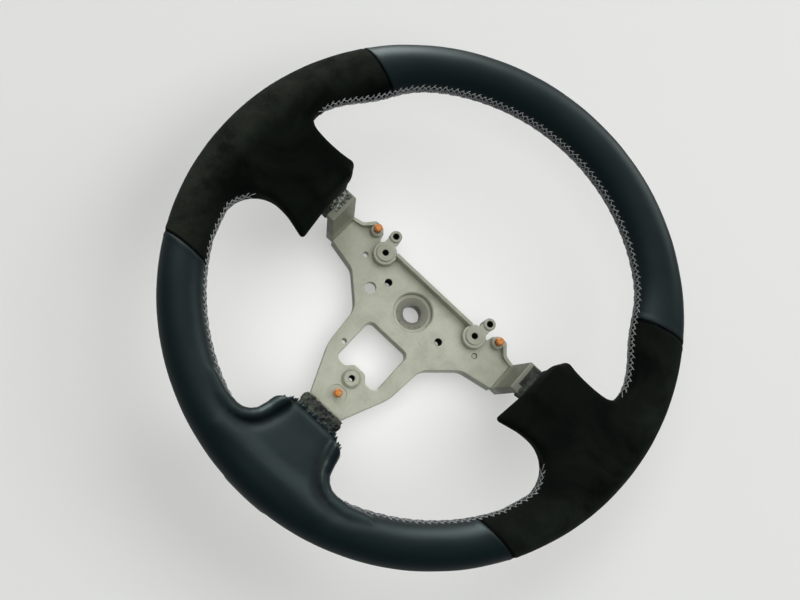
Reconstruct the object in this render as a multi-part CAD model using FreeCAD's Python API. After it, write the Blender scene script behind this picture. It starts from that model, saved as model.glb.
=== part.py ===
import FreeCAD, Part

import math
import os

# Bare trimmed steering wheel: three spokes, no centre pad.
# Millimetres. +Y runs down the column, away from the driver; +Z is 12 o'clock.
# The origin is on the column axis, on the seat of the column nut.

Vector = FreeCAD.Vector
COLUMN_AXIS = Vector(0, 1, 0)

# Rim
RIM_Y = -79.0            # plane of the rim's centre line
RIM_RADIUS = 169.6       # centre line of the grip
GRIP_RADIUS = 15.4       # outside of the cover
COVER = 1.2              # leather and suede thickness
THREAD = 0.5             # how proud the laced thread stands
RING_ROD_RADIUS = 5.0    # steel core
COLLAR_RADIUS = 9.5      # casting around the core at each spoke
COLLAR_HALF_ANGLE = 5.0
THUMB_ANGLE = 31.5       # thumb swell, above horizontal
THUMB_RADIUS = 13.6
THUMB_OFFSET = 160.2
THUMB_HALF_LENGTH = 22.0

# Hub plate
PLATE_FRONT_Y = -6.0
PLATE_BACK_Y = 0.0
FLANGE_BACK_Y = 6.0
FLANGE_WALL = 3.0
HUB_BACK_Y = 13.0
HUB_RADIUS = 21.0
ARM_FOLD_X = 84.5        # where the plate turns up into a side spoke
TONGUE_END_Z = -100.0    # where it turns up into the bottom spoke
TONGUE_HALF = 15.5
BOSS_FRONT_Y = -14.0
RIB_FRONT_Y = -14.0
LUG_FRONT_Y = -12.0
PIN_LUG_RADIUS = 5.0
BOSS_RADIUS = 9.5
BOSS_CROWN_RADIUS = 6.9
BOSS_STEP = 1.5          # the boss shoulder lies this far behind its crown
EAR_RADIUS = 4.9
RIB_HALF = 40.0
RIB_Z = (21.2, 24.5)
EDGE = 1.0               # rounding of the casting's front edges

# Column bore
NUT_RECESS_RADIUS = 15.5
BUSH_RADIUS = 13.0
BUSH_KEY_RADIUS = 15.0
BUSH_KEY_Y = (5.0, 8.5)  # the ring that keys the bush into the casting
STAKING_RADIUS = 11.6    # circle of the punch marks on the bush
STAKING_ANGLES = (-145.0, -108.0, -63.0, -37.0, -20.0)
BORE_RADIUS = 7.3
BORE_LAND = 5.0          # length of the plain bore behind the nut seat
SERRATION_COUNT = 36
SERRATION_MINOR = 7.5
SERRATION_MAJOR = 8.0

# Spokes, in a spoke frame: X outward from the axis, Z across the spoke
ARM_FRONT_Y = -44.0      # front of the raised part of a spoke
RISER_LEAN = 4.4         # how far the riser leans outward from foot to top
ARM_WALL = 5.5
ARM_RUN = 19.0           # level run before the arm climbs to the ring
ARM_RISE = 1.0           # arm centre at the ring, behind the ring's centre
SIDE_ARM_Z = (-2.2, 23.4)
FRONT_SLOPE = 20.0       # degrees, pad front from the grip towards the hub
BACK_SLOPE = 8.0
RIDGE_BACK_Y = -34.5     # back of the padding behind the arm
RIDGE_SPREAD = 3.4       # padding on each side of the arm
SIDE_RIDGE_START = 99.5
LOW_RIDGE_START = 122.0

# Joints between the four cover panels, as lines (x, z) on the right side
TOP_JOINT = ((60.0, 74.9), (210.0, 106.7))
LOW_JOINT = ((60.0, -89.1), (210.0, -102.3))
SEAM_HALF = 0.4

# Fixing points on the hub, (x, z)
BOSS = (47.4, 17.6)
EAR = (50.2, 33.2)
SIDE_PIN = (64.6, 27.2)
LOW_BOSS = (0.0, -71.7)
LOW_PIN = (0.0, -87.0)
SCREW_RADIUS = 2.65
EAR_HOLE_RADIUS = 2.7
LOW_HOLE_RADIUS = 2.6
PULLER_RADIUS = 3.1
PULLER_PCD = 60.5
PULLER_ANGLE = 172.6     # of the left puller hole, about the column axis
PIN_RADIUS = 3.2
PIN_SHANK_RADIUS = 2.0
SIDE_PIN_FRONT_Y = -19.0
LOW_PIN_FRONT_Y = -14.0
CLIP_HOLE = (-23.8, -54.1)
CLIP_HOLE_RADIUS = 2.2
LARGE_HOLE = (-37.6, -9.1)
LARGE_HOLE_RADIUS = 4.7
SMALL_HOLE = (-58.3, 7.9)
DIMPLE = (58.2, 7.9)     # shallow, opposite the small hole
SMALL_HOLE_RADIUS = 2.3
WEB_DIMPLE = (21.6, -54.5)
WEB_DIMPLE_RADIUS = 3.3
NIB = (20.8, -13.0)      # low round mark beside the nut recess
NIB_RADIUS = 2.4

PLATE_HALF = [           # right half of the plate, (x, z, corner radius)
    (58.0, 24.5, 2.0),
    (59.5, 32.0, 3.5),
    (69.8, 32.0, 4.5),
    (76.5, 24.3, 6.0),
    (ARM_FOLD_X, 24.0, 0.0),
    (ARM_FOLD_X, -2.6, 0.0),
    (58.5, -8.0, 14.0),
    (35.0, -29.8, 16.0),
    (31.8, -63.0, 30.0),
    (TONGUE_HALF, TONGUE_END_Z, 0.0),
]
WINDOW_HALF = [
    (20.0, -28.0, 5.0),
    (20.0, -67.5, 5.0),
    (10.5, -67.5, 4.0),
    (5.5, -61.8, 5.0),
]
SIDE_PAD = [             # in the spoke frame, right spoke
    (166.0, 52.0, 0.0),
    (149.0, 50.0, 0.0),
    (146.0, 28.8, 10.0),
    (122.0, 28.2, 60.0),
    (104.0, 34.6, 3.5),
    (98.6, 12.0, 30.0),
    (92.2, -33.2, 2.6),
    (110.0, -29.2, 40.0),
    (141.8, -28.6, 24.0),
    (141.8, -57.0, 10.0),
    (136.0, -76.0, 0.0),
    (152.0, -84.0, 0.0),
    (166.0, -40.0, 0.0),
]
LOW_PAD_HALF = [         # in the spoke frame, one half of the bottom spoke
    (120.6, 29.0, 6.0),
    (146.0, 30.5, 13.0),
    (148.6, 49.0, 0.0),
    (166.0, 44.0, 0.0),
]


def mirrored_half(half):
    """A closed corner list from its right half, for a shape even in X."""
    left = [(-x, z, r) for x, z, r in reversed(half)]
    return half + left


def corner_cut(before, here, after, radius):
    """Start, middle and end of the arc that rounds one corner."""
    to_before = (before - here).normalize()
    to_after = (after - here).normalize()
    half = to_before.getAngle(to_after) / 2
    reach = radius / math.tan(half)
    middle = (to_before + to_after).normalize()
    top = here + middle * (radius / math.sin(half) - radius)
    return here + to_before * reach, top, here + to_after * reach


def moved_inward(corners, inset):
    """The same corner list with every side moved inward and radii to suit."""
    points = [Vector(x, 0, z) for x, z, r in corners]
    count = len(points)
    area = 0.0
    for index, point in enumerate(points):
        area += points[index - 1].x * point.z - point.x * points[index - 1].z
    facing = math.copysign(1.0, area)
    result = []
    for index, (x, z, radius) in enumerate(corners):
        arriving = (points[index] - points[index - 1]).normalize()
        leaving = (points[(index + 1) % count] - points[index]).normalize()
        first = Vector(-arriving.z, 0, arriving.x) * facing
        second = Vector(-leaving.z, 0, leaving.x) * facing
        shift = (first + second) * (inset / (1 + first.dot(second)))
        bend = (arriving.x * leaving.z - arriving.z * leaving.x) * facing
        if radius > 0.0:
            radius = max(radius - math.copysign(inset, bend), 0.05)
        result.append((x + shift.x, z + shift.z, radius))
    return result


def outline(corners, inset=0.0):
    """Closed wire in the XZ plane: straight runs joined by tangent arcs."""
    if inset != 0.0:
        corners = moved_inward(corners, inset)
    points = [Vector(x, 0, z) for x, z, r in corners]
    count = len(corners)
    cuts = []
    for index, (x, z, radius) in enumerate(corners):
        here = points[index]
        if radius == 0.0:
            cuts.append((here, None, here))
            continue
        before = points[index - 1]
        after = points[(index + 1) % count]
        cuts.append(corner_cut(before, here, after, radius))
    edges = []
    for index, (start, top, end) in enumerate(cuts):
        if top is not None:
            edges.append(Part.Arc(start, top, end).toShape())
        following = cuts[(index + 1) % count][0]
        edges.append(Part.LineSegment(end, following).toShape())
    return Part.Wire(edges)


def prism(wire, low_y, high_y):
    """The outline as a solid between two planes across the column."""
    face = Part.Face(wire)
    solid = face.extrude(Vector(0, high_y - low_y, 0))
    solid.translate(Vector(0, low_y, 0))
    return solid


def profile_prism(points, low_z, high_z):
    """A polygon of (x, y) points as a solid between two heights."""
    corners = [Vector(x, y, low_z) for x, y in points]
    face = Part.Face(Part.makePolygon(corners + corners[:1]))
    return face.extrude(Vector(0, 0, high_z - low_z))


def rod(place, radius, low_y, high_y):
    """A cylinder along the column direction at (x, z)."""
    foot = Vector(place[0], low_y, place[1])
    return Part.makeCylinder(radius, high_y - low_y, foot, COLUMN_AXIS)


def rounded_rod(place, radius, low_y, high_y, edge):
    """A cylinder along the column direction whose front rim is rounded."""
    solid = rod(place, radius, low_y, high_y)
    return front_rounded(solid, low_y, edge)


def front_rounded(solid, front_y, radius):
    """The solid with every edge of its face at front_y rounded."""
    rims = []
    for edge in solid.Edges:
        extent = edge.BoundBox
        if abs(extent.YMin - front_y) < 0.001 and abs(extent.YMax - front_y) < 0.001:
            rims.append(edge)
    return solid.makeFillet(radius, rims)


def cone(place, low_radius, high_radius, low_y, high_y):
    """A cone along the column direction at (x, z)."""
    foot = Vector(place[0], low_y, place[1])
    return Part.makeCone(low_radius, high_radius, high_y - low_y, foot, COLUMN_AXIS)


def box(low, high):
    """A box from its two corners."""
    size = [b - a for a, b in zip(low, high)]
    return Part.makeBox(size[0], size[1], size[2], Vector(*low))


def fused(parts):
    """One solid from overlapping parts."""
    whole = parts[0].multiFuse(parts[1:])
    return whole.removeSplitter()


def both_sides(shape):
    """A right-hand shape and its mirror image on the left."""
    return [shape, shape.mirror(Vector(0, 0, 0), Vector(1, 0, 0))]


def at_bottom(shape):
    """A shape from the spoke frame, turned to the bottom spoke."""
    turned = shape.copy()
    turned.rotate(Vector(0, 0, 0), COLUMN_AXIS, 90)
    return turned


# ---- envelope of the grip: the outside of the cover, moved in by inset ----

def grip_torus(inset):
    """The round of the rim."""
    centre = Vector(0, RIM_Y, 0)
    return Part.makeTorus(RIM_RADIUS, GRIP_RADIUS - inset, centre, COLUMN_AXIS)


def thumb_swell(inset):
    """The swell under the right thumb: a short round bar with ball ends."""
    angle = math.radians(THUMB_ANGLE)
    radial = Vector(math.cos(angle), 0, math.sin(angle))
    along = Vector(-math.sin(angle), 0, math.cos(angle))
    middle = radial * THUMB_OFFSET + Vector(0, RIM_Y, 0)
    low = middle - along * THUMB_HALF_LENGTH
    high = middle + along * THUMB_HALF_LENGTH
    radius = THUMB_RADIUS - inset
    bar = Part.makeCylinder(radius, 2 * THUMB_HALF_LENGTH, low, along)
    return fused([bar, Part.makeSphere(radius, low), Part.makeSphere(radius, high)])


def pad_profile(inset):
    """Side view of a pad: two planes tangent to the grip, (x, y) points."""
    radius = GRIP_RADIUS - inset
    reach = 90.0
    points = []
    for slope, face in ((FRONT_SLOPE, -1.0), (BACK_SLOPE, 1.0)):
        tilt = math.radians(slope)
        x = RIM_RADIUS - radius * math.sin(tilt)
        y = RIM_Y + face * radius * math.cos(tilt)
        far = (x - reach * math.cos(tilt), y + reach * math.sin(tilt))
        points.append([(x, y), far])
    front, back = points
    return [front[0], front[1], back[1], back[0]]


def pad_wing(corners, inset):
    """The broad thin part of a pad, in the spoke frame."""
    wire = outline(corners, inset)
    plate = prism(wire, RIM_Y - 60, RIM_Y + 80)
    wedge = profile_prism(pad_profile(inset), -120, 120)
    return plate.common(wedge)


def pad_ridge(low_z, high_z, start_x, inset):
    """The padding behind the arm, in the spoke frame."""
    back = RIDGE_BACK_Y - inset
    profile = [
        (start_x + inset, RIM_Y + 15),
        (start_x + inset, back),
        (start_x + 12, back),
        (156 - inset, RIM_Y + 10),
        (156 - inset, RIM_Y),
    ]
    return profile_prism(profile, low_z + inset, high_z - inset)


def side_pad(inset):
    """Wing and ridge of the right spoke's pad."""
    low, high = SIDE_ARM_Z
    ridge = pad_ridge(low - RIDGE_SPREAD, high + RIDGE_SPREAD, SIDE_RIDGE_START, inset)
    return fused([pad_wing(SIDE_PAD, inset), ridge])


def low_pad(inset):
    """Wing and ridge of the bottom spoke's pad, still in the spoke frame."""
    corners = LOW_PAD_HALF + [(x, -z, r) for x, z, r in reversed(LOW_PAD_HALF)]
    half = TONGUE_HALF + RIDGE_SPREAD
    ridge = pad_ridge(-half, half, LOW_RIDGE_START, inset)
    return fused([pad_wing(corners, inset), ridge])


def envelope(inset):
    """Everything inside the cover's outer skin, moved in by inset."""
    parts = [grip_torus(inset)]
    parts += both_sides(thumb_swell(inset))
    parts += both_sides(side_pad(inset))
    parts.append(at_bottom(low_pad(inset)))
    return fused(parts)


# ---- metal ----

def spline_bush():
    """Steel insert: plain land at the nut seat, serrations behind it."""
    body = rod((0, 0), BUSH_RADIUS, PLATE_BACK_Y, HUB_BACK_Y)
    key = rod((0, 0), BUSH_KEY_RADIUS, *BUSH_KEY_Y)
    bush = fused([body, key])
    bush = bush.cut(rod((0, 0), BORE_RADIUS, -1, BORE_LAND))
    points = []
    for tooth in range(SERRATION_COUNT):
        for part, radius in ((0.0, SERRATION_MAJOR), (0.5, SERRATION_MINOR)):
            turn = math.tau * (tooth + part) / SERRATION_COUNT
            points.append(Vector(radius * math.cos(turn), 0, radius * math.sin(turn)))
    star = Part.makePolygon(points + points[:1])
    bush = bush.cut(prism(star, BORE_LAND, HUB_BACK_Y + 1))
    return bush.cut(staking_marks())


def staking_marks():
    """Small punch marks on the bush's front face."""
    marks = []
    for angle in STAKING_ANGLES:
        turn = math.radians(angle)
        place = (STAKING_RADIUS * math.cos(turn), STAKING_RADIUS * math.sin(turn))
        marks.append(cone(place, 0.7, 0.3, PLATE_BACK_Y, PLATE_BACK_Y + 0.5))
    return marks


def arm_profile(fold):
    """Side view of a spoke arm from inside the plate to the ring, (x, y)."""
    end_y = RIM_Y + ARM_RISE
    level = fold + RISER_LEAN
    sink = 2.0
    foot = fold - RISER_LEAN * sink / (PLATE_FRONT_Y - ARM_FRONT_Y)
    return [
        (fold - 6, PLATE_FRONT_Y + sink),
        (foot, PLATE_FRONT_Y + sink),
        (level, ARM_FRONT_Y),
        (level + ARM_RUN, ARM_FRONT_Y),
        (RIM_RADIUS - 4, end_y - ARM_WALL / 2),
        (RIM_RADIUS - 4, end_y + ARM_WALL / 2),
        (level + ARM_RUN + 2, ARM_FRONT_Y + ARM_WALL),
        (level + ARM_WALL, ARM_FRONT_Y + ARM_WALL),
        (fold + ARM_WALL + 0.6, PLATE_BACK_Y),
        (fold - 6, PLATE_BACK_Y - 1),
    ]


def arm_front_edges(arm, profile):
    """The edges round the riser and the level run, on the driver's side."""
    front = [Vector(x, y, 0) for x, y in profile[1:4]]
    found = []
    for edge in arm.Edges:
        places = []
        for vertex in edge.Vertexes:
            flat = Vector(vertex.X, vertex.Y, 0)
            gaps = [(flat - corner).Length for corner in front]
            places.append(gaps.index(min(gaps)) if min(gaps) < 0.001 else -1)
        if -1 not in places and (places[0] != places[1] or places[0] == 1):
            found.append(edge)
    return found


def spoke_arm(fold, low_z, high_z):
    """Riser, level run, climbing arm and the collar around the ring."""
    middle = (low_z + high_z) / 2
    profile = arm_profile(fold)
    arm = profile_prism(profile, low_z, high_z)
    arm = arm.makeFillet(EDGE, arm_front_edges(arm, profile))
    plan = outline([
        (fold - 10, low_z - 1, 0.0),
        (fold - 10, high_z + 1, 0.0),
        (fold + 26, high_z + 1, 20.0),
        (RIM_RADIUS, middle + 8, 0.0),
        (RIM_RADIUS, middle - 8, 0.0),
        (fold + 26, low_z - 1, 20.0),
    ])
    arm = arm.common(prism(plan, -140, 40))
    start = -math.degrees(math.atan2(middle, RIM_RADIUS)) - COLLAR_HALF_ANGLE
    collar = Part.makeTorus(RIM_RADIUS, COLLAR_RADIUS, Vector(0, 0, 0), Vector(0, 0, 1),
                            0, 360, 2 * COLLAR_HALF_ANGLE)
    collar.rotate(Vector(0, 0, 0), Vector(1, 0, 0), -90)
    collar.rotate(Vector(0, 0, 0), COLUMN_AXIS, start)
    collar.translate(Vector(0, RIM_Y, 0))
    return fused([arm, collar])


def hub_plate():
    """Flat plate with its window, back flange and hub barrel."""
    plate_corners = mirrored_half(PLATE_HALF)
    window_corners = mirrored_half(WINDOW_HALF)
    plate_wire = outline(plate_corners)
    window_wire = outline(window_corners)
    plate = prism(plate_wire, PLATE_FRONT_Y, PLATE_BACK_Y)
    plate = plate.cut(prism(window_wire, PLATE_FRONT_Y - 1, PLATE_BACK_Y + 1))
    plate = front_rounded(plate, PLATE_FRONT_Y, EDGE)
    outer = prism(plate_wire, PLATE_BACK_Y, FLANGE_BACK_Y)
    outer = outer.cut(prism(outline(plate_corners, FLANGE_WALL), PLATE_BACK_Y - 1, FLANGE_BACK_Y + 1))
    collar = prism(outline(window_corners, -FLANGE_WALL), PLATE_BACK_Y, FLANGE_BACK_Y - 1.5)
    barrel = rod((0, 0), HUB_RADIUS, PLATE_FRONT_Y, HUB_BACK_Y)
    collar = collar.cut(prism(window_wire, PLATE_BACK_Y - 1, FLANGE_BACK_Y + 1))
    return fused([plate, outer, collar, barrel])


def back_ribs():
    """Stiffening ribs behind the plate, from the barrel out along the spokes."""
    ribs = []
    for z, end_x in ((12.0, ARM_FOLD_X + 2), (-1.5, ARM_FOLD_X - 6)):
        ribs += both_sides(box((12, PLATE_BACK_Y - 1, z), (end_x, FLANGE_BACK_Y, z + 3)))
    return ribs


def hub_bosses():
    """Screw bosses, ears, pin lugs, puller bosses and the front rib."""
    parts = []
    step_y = BOSS_FRONT_Y + BOSS_STEP
    lug = rounded_rod(SIDE_PIN, PIN_LUG_RADIUS, LUG_FRONT_Y, FLANGE_BACK_Y, EDGE)
    step = rounded_rod(BOSS, BOSS_RADIUS, step_y, FLANGE_BACK_Y, EDGE)
    crown = rounded_rod(BOSS, BOSS_CROWN_RADIUS, BOSS_FRONT_Y, FLANGE_BACK_Y, EDGE / 2)
    ear = rounded_rod(EAR, EAR_RADIUS, BOSS_FRONT_Y, PLATE_BACK_Y, EDGE)
    web = box((BOSS[0] - 1.5, step_y, BOSS[1] + 5), (BOSS[0] + 6.5, PLATE_BACK_Y, EAR[1] - 1))
    for shape in (lug, step, crown, ear, web, pin_lip()):
        parts += both_sides(shape)
    rib = box((-RIB_HALF, RIB_FRONT_Y, RIB_Z[0]), (RIB_HALF, PLATE_BACK_Y, RIB_Z[1]))
    parts.append(front_rounded(rib, RIB_FRONT_Y, EDGE))
    parts.append(cone(LOW_BOSS, 5.7, 8.0, PLATE_FRONT_Y - 3.5, PLATE_FRONT_Y + 0.5))
    parts.append(rod(LOW_BOSS, 8.0, PLATE_FRONT_Y, FLANGE_BACK_Y))
    parts.append(rod(LOW_PIN, 6.0, PLATE_BACK_Y - 1, FLANGE_BACK_Y))
    for place in puller_places():
        parts.append(rod(place, 6.2, PLATE_BACK_Y - 1, FLANGE_BACK_Y + 1))
    parts.append(rod(NIB, NIB_RADIUS, PLATE_FRONT_Y - 0.4, PLATE_BACK_Y))
    parts.append(rod(CLIP_HOLE, 3.7, PLATE_BACK_Y - 1, FLANGE_BACK_Y - 1.5))
    return parts


def pin_lip():
    """The lip that climbs from the riser to the right pin's lug."""
    strip = outline([
        (67.0, 32.0, 0.0),
        (69.8, 32.0, 4.0),
        (76.5, 24.4, 6.0),
        (ARM_FOLD_X + 1, 23.4, 0.0),
        (ARM_FOLD_X + 1, 20.9, 0.0),
        (75.6, 21.8, 6.0),
        (68.4, 28.6, 4.0),
        (66.0, 28.6, 0.0),
    ])
    slope = [
        (64.0, LUG_FRONT_Y - 0.5),
        (70.0, LUG_FRONT_Y - 0.5),
        (ARM_FOLD_X + 1, PLATE_FRONT_Y - 2.0),
        (ARM_FOLD_X + 1, PLATE_BACK_Y - 1),
        (64.0, PLATE_BACK_Y - 1),
    ]
    return prism(strip, LUG_FRONT_Y - 2, PLATE_BACK_Y - 1).common(profile_prism(slope, 10, 40))


def puller_places():
    """The two puller holes, opposite each other about the column axis."""
    turn = math.radians(PULLER_ANGLE)
    x = PULLER_PCD / 2 * math.cos(turn)
    z = PULLER_PCD / 2 * math.sin(turn)
    return [(x, z), (-x, -z)]


def hub_holes():
    """Everything cut out of the hub casting."""
    front = BOSS_FRONT_Y - 2
    back = FLANGE_BACK_Y + 4
    holes = [
        rod((0, 0), NUT_RECESS_RADIUS, front, PLATE_BACK_Y),
        cone((0, 0), NUT_RECESS_RADIUS + 1.9, NUT_RECESS_RADIUS - 0.1, PLATE_FRONT_Y - 1, PLATE_FRONT_Y + 1),
        rod((0, 0), BUSH_RADIUS, PLATE_BACK_Y - 1, HUB_BACK_Y + 1),
        rod((0, 0), BUSH_KEY_RADIUS, *BUSH_KEY_Y),
        rod(LOW_BOSS, LOW_HOLE_RADIUS, front, back),
        rod(LOW_PIN, PIN_SHANK_RADIUS, PLATE_FRONT_Y - 1, back),
        rod(LARGE_HOLE, LARGE_HOLE_RADIUS, front, back),
        rod(SMALL_HOLE, SMALL_HOLE_RADIUS, front, back),
        rod(DIMPLE, SMALL_HOLE_RADIUS, front, PLATE_FRONT_Y + 1.0),
        rod(CLIP_HOLE, CLIP_HOLE_RADIUS, front, back),
        rod(WEB_DIMPLE, WEB_DIMPLE_RADIUS, front, PLATE_FRONT_Y + 0.4),
    ]
    for place in puller_places():
        holes.append(rod(place, PULLER_RADIUS, front, back))
    for place, radius in ((BOSS, SCREW_RADIUS), (EAR, EAR_HOLE_RADIUS)):
        holes += both_sides(rod(place, radius, front, back))
    holes += both_sides(rod(SIDE_PIN, PIN_SHANK_RADIUS, PLATE_FRONT_Y - 5, back))
    pocket = outline([(-6.5, -80.5, 6.0), (6.5, -80.5, 6.0), (9.0, -95.0, 7.0), (-9.0, -95.0, 7.0)])
    holes.append(prism(pocket, front, PLATE_FRONT_Y + 0.8))
    return holes


def hub_casting():
    """The light alloy armature: plate, bosses and three arms."""
    low, high = SIDE_ARM_Z
    parts = [hub_plate()] + back_ribs() + hub_bosses()
    parts += both_sides(spoke_arm(ARM_FOLD_X, low, high))
    parts.append(at_bottom(spoke_arm(-TONGUE_END_Z, 0.3 - TONGUE_HALF, TONGUE_HALF - 0.3)))
    casting = parts[0].multiFuse(parts[1:])
    casting = casting.cut(hub_holes())
    casting = casting.cut(rim_ring())
    return casting.removeSplitter()


def casting_nodes():
    """The casting as four nodes, divided by the folds, so that collision stays open in the dish."""
    whole = hub_casting()
    before = FLANGE_WALL / 2
    sides = both_sides(box((ARM_FOLD_X - before, -130, -60), (230, 50, 60)))
    low = box((-60, -130, -230), (60, 50, TONGUE_END_Z + before))
    return {
        "hub_casting": whole.cut(sides + [low]),
        "right_arm_casting": whole.common(sides[0]),
        "left_arm_casting": whole.common(sides[1]),
        "low_arm_casting": whole.common(low),
    }


def rim_ring():
    """The steel core of the rim."""
    return Part.makeTorus(RIM_RADIUS, RING_ROD_RADIUS, Vector(0, RIM_Y, 0), COLUMN_AXIS)


def contact_pin(place, front_y):
    """A horn contact pin: domed head on a thinner shank."""
    head = rod(place, PIN_RADIUS, front_y + 1.0, front_y + 5.0)
    dome = cone(place, PIN_RADIUS - 1.0, PIN_RADIUS, front_y, front_y + 1.0)
    shank = rod(place, PIN_SHANK_RADIUS, front_y + 5.0, FLANGE_BACK_Y + 1.5)
    tail = rod(place, 2.8, FLANGE_BACK_Y, FLANGE_BACK_Y + 1.5)
    return fused([head, dome, shank, tail])


# ---- padding, covers and threads ----

def foam_scraps():
    """Foam left on the bare stubs where the spokes leave their pads."""
    low, high = SIDE_ARM_Z
    side = box((92.0, ARM_FRONT_Y - 1.2, low + 1.5), (104.0, ARM_FRONT_Y, high - 1.5))
    bottom = box((106.0, ARM_FRONT_Y - 1.5, -TONGUE_HALF - 1.5),
                 (126.0, ARM_FRONT_Y + ARM_WALL, TONGUE_HALF + 1.5))
    return both_sides(side) + [at_bottom(bottom)]


def grip_foam(core, castings):
    """The moulded foam around the core and the arms."""
    foam = core.multiFuse(foam_scraps())
    foam = foam.cut([rim_ring()] + castings)
    return foam.removeSplitter()


def arm_openings():
    """Where the arms pass through the pad ends."""
    low, high = SIDE_ARM_Z
    wall = 1.6
    side = box((80.0, ARM_FRONT_Y - wall, low - 1.0), (104.0, ARM_FRONT_Y + ARM_WALL + 1.0, high + 1.0))
    half = TONGUE_HALF + wall
    bottom = box((100.0, ARM_FRONT_Y - wall, -half), (126.0, ARM_FRONT_Y + ARM_WALL + 1.0, half))
    return both_sides(side) + [at_bottom(bottom)]


def panel_regions():
    """Prisms that divide the cover into its four panels."""
    low_y = RIM_Y - 40
    high_y = RIM_Y + 80
    (top_in, top_out), (low_in, low_out) = TOP_JOINT, LOW_JOINT
    far = 215.0

    def region(points):
        return prism(outline([(x, z, 0.0) for x, z in points]), low_y, high_y)

    def flip(point):
        return (-point[0], point[1])

    right = region([top_in, top_out, low_out, low_in])
    left = right.mirror(Vector(0, 0, 0), Vector(1, 0, 0))
    top = region([flip(top_out), flip(top_in), top_in, top_out, (210.0, far), (-210.0, far)])
    bottom = region([flip(low_in), low_in, low_out, (210.0, -far), (-210.0, -far), flip(low_out)])
    return {"top_leather": top, "right_suede": right, "left_suede": left, "bottom_leather": bottom}


def joint_slab(joint):
    """A thin slab along one joint line on the right side."""
    start = Vector(joint[0][0], 0, joint[0][1])
    end = Vector(joint[1][0], 0, joint[1][1])
    along = (end - start).normalize()
    across = Vector(-along.z, 0, along.x) * SEAM_HALF
    points = [start + across, end + across, end - across, start - across]
    return prism(Part.makePolygon(points + points[:1]), RIM_Y - 40, RIM_Y + 40)


def joint_threads():
    """The sewing that holds neighbouring panels together, under the surface."""
    rim = {}
    for inset in (0.3, 0.9):
        rim[inset] = fused([grip_torus(inset)] + both_sides(thumb_swell(inset)))
    ring = rim[0.3].cut(rim[0.9])
    threads = {}
    for level, joint in (("top", TOP_JOINT), ("low", LOW_JOINT)):
        right = joint_slab(joint).common(ring)
        threads[level + "_right_joint_thread"] = right
        threads[level + "_left_joint_thread"] = right.mirror(Vector(0, 0, 0), Vector(1, 0, 0))
    return threads


def window_regions():
    """Where each rim opening's lacing lies: a band along its inner edge."""
    half_band = 3.2
    low_y = RIM_Y - half_band
    high_y = RIM_Y + half_band
    inner = rod((0, 0), RIM_RADIUS - 7, low_y, high_y)

    def sector(points):
        return prism(outline([(x, z, 0.0) for x, z in points]), low_y, high_y).common(inner)

    top = sector([(100, 38), (180, 38), (180, 200), (-180, 200), (-180, 38), (-100, 38)])
    right = sector([(100, -38), (180, -38), (180, -190), (56, -190), (43, -120)])
    left = right.mirror(Vector(0, 0, 0), Vector(1, 0, 0))
    return {"top_lacing": top, "right_lacing": right, "left_lacing": left}


def spoke_seam_regions():
    """Where the closing seam runs down the back of each spoke's pad."""
    low, high = SIDE_ARM_Z
    middle = (low + high) / 2
    side = box((108, RIM_Y + 14, middle - 2), (150, 0, middle + 2))
    bottom = box((130, RIM_Y + 14, -2), (152, 0, 2))
    right, left = both_sides(side)
    return {"right_spoke_seam": right, "left_spoke_seam": left, "bottom_spoke_seam": at_bottom(bottom)}


def lacing(skin):
    """All visible threads: a thin layer of the skin inside each region."""
    regions = window_regions()
    regions.update(spoke_seam_regions())
    return {name: skin.common(region) for name, region in regions.items()}


def cover_panels(outer, core, seams):
    """The four leather and suede panels, cut from one shell."""
    shell = outer.cut([core] + arm_openings())
    shell = shell.cut(list(seams.values()))
    return {name: shell.common(region) for name, region in panel_regions().items()}


def all_nodes():
    """Every piece by its node name."""
    castings = casting_nodes()
    outer = envelope(0.0)
    core = envelope(COVER)
    proud = envelope(-THREAD)
    seams = joint_threads()
    nodes = {
        "spline_bush": spline_bush(),
        "rim_ring": rim_ring(),
        "grip_foam": grip_foam(core, list(castings.values())),
        "right_contact_pin": contact_pin(SIDE_PIN, SIDE_PIN_FRONT_Y),
        "left_contact_pin": contact_pin((-SIDE_PIN[0], SIDE_PIN[1]), SIDE_PIN_FRONT_Y),
        "low_contact_pin": contact_pin(LOW_PIN, LOW_PIN_FRONT_Y),
    }
    nodes.update(castings)
    nodes.update(cover_panels(outer, core, seams))
    nodes.update(seams)
    nodes.update(lacing(proud.cut(outer)))
    return nodes


def main():
    """Writes one STEP file per node."""
    os.makedirs("parts", exist_ok=True)
    for name, shape in all_nodes().items():
        solids = shape.Solids
        print(name, "solids", len(solids), "valid", shape.isValid(), "mm3", round(shape.Volume))
        keep = solids[0] if len(solids) == 1 else Part.makeCompound(solids)
        keep.exportStep("parts/" + name + ".step")


main()
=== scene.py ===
"""Bare trimmed steering wheel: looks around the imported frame."""

import math
from itertools import product

import bmesh
import bpy
import numpy as np
from mathutils import Matrix, Vector
from mathutils.kdtree import KDTree


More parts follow.
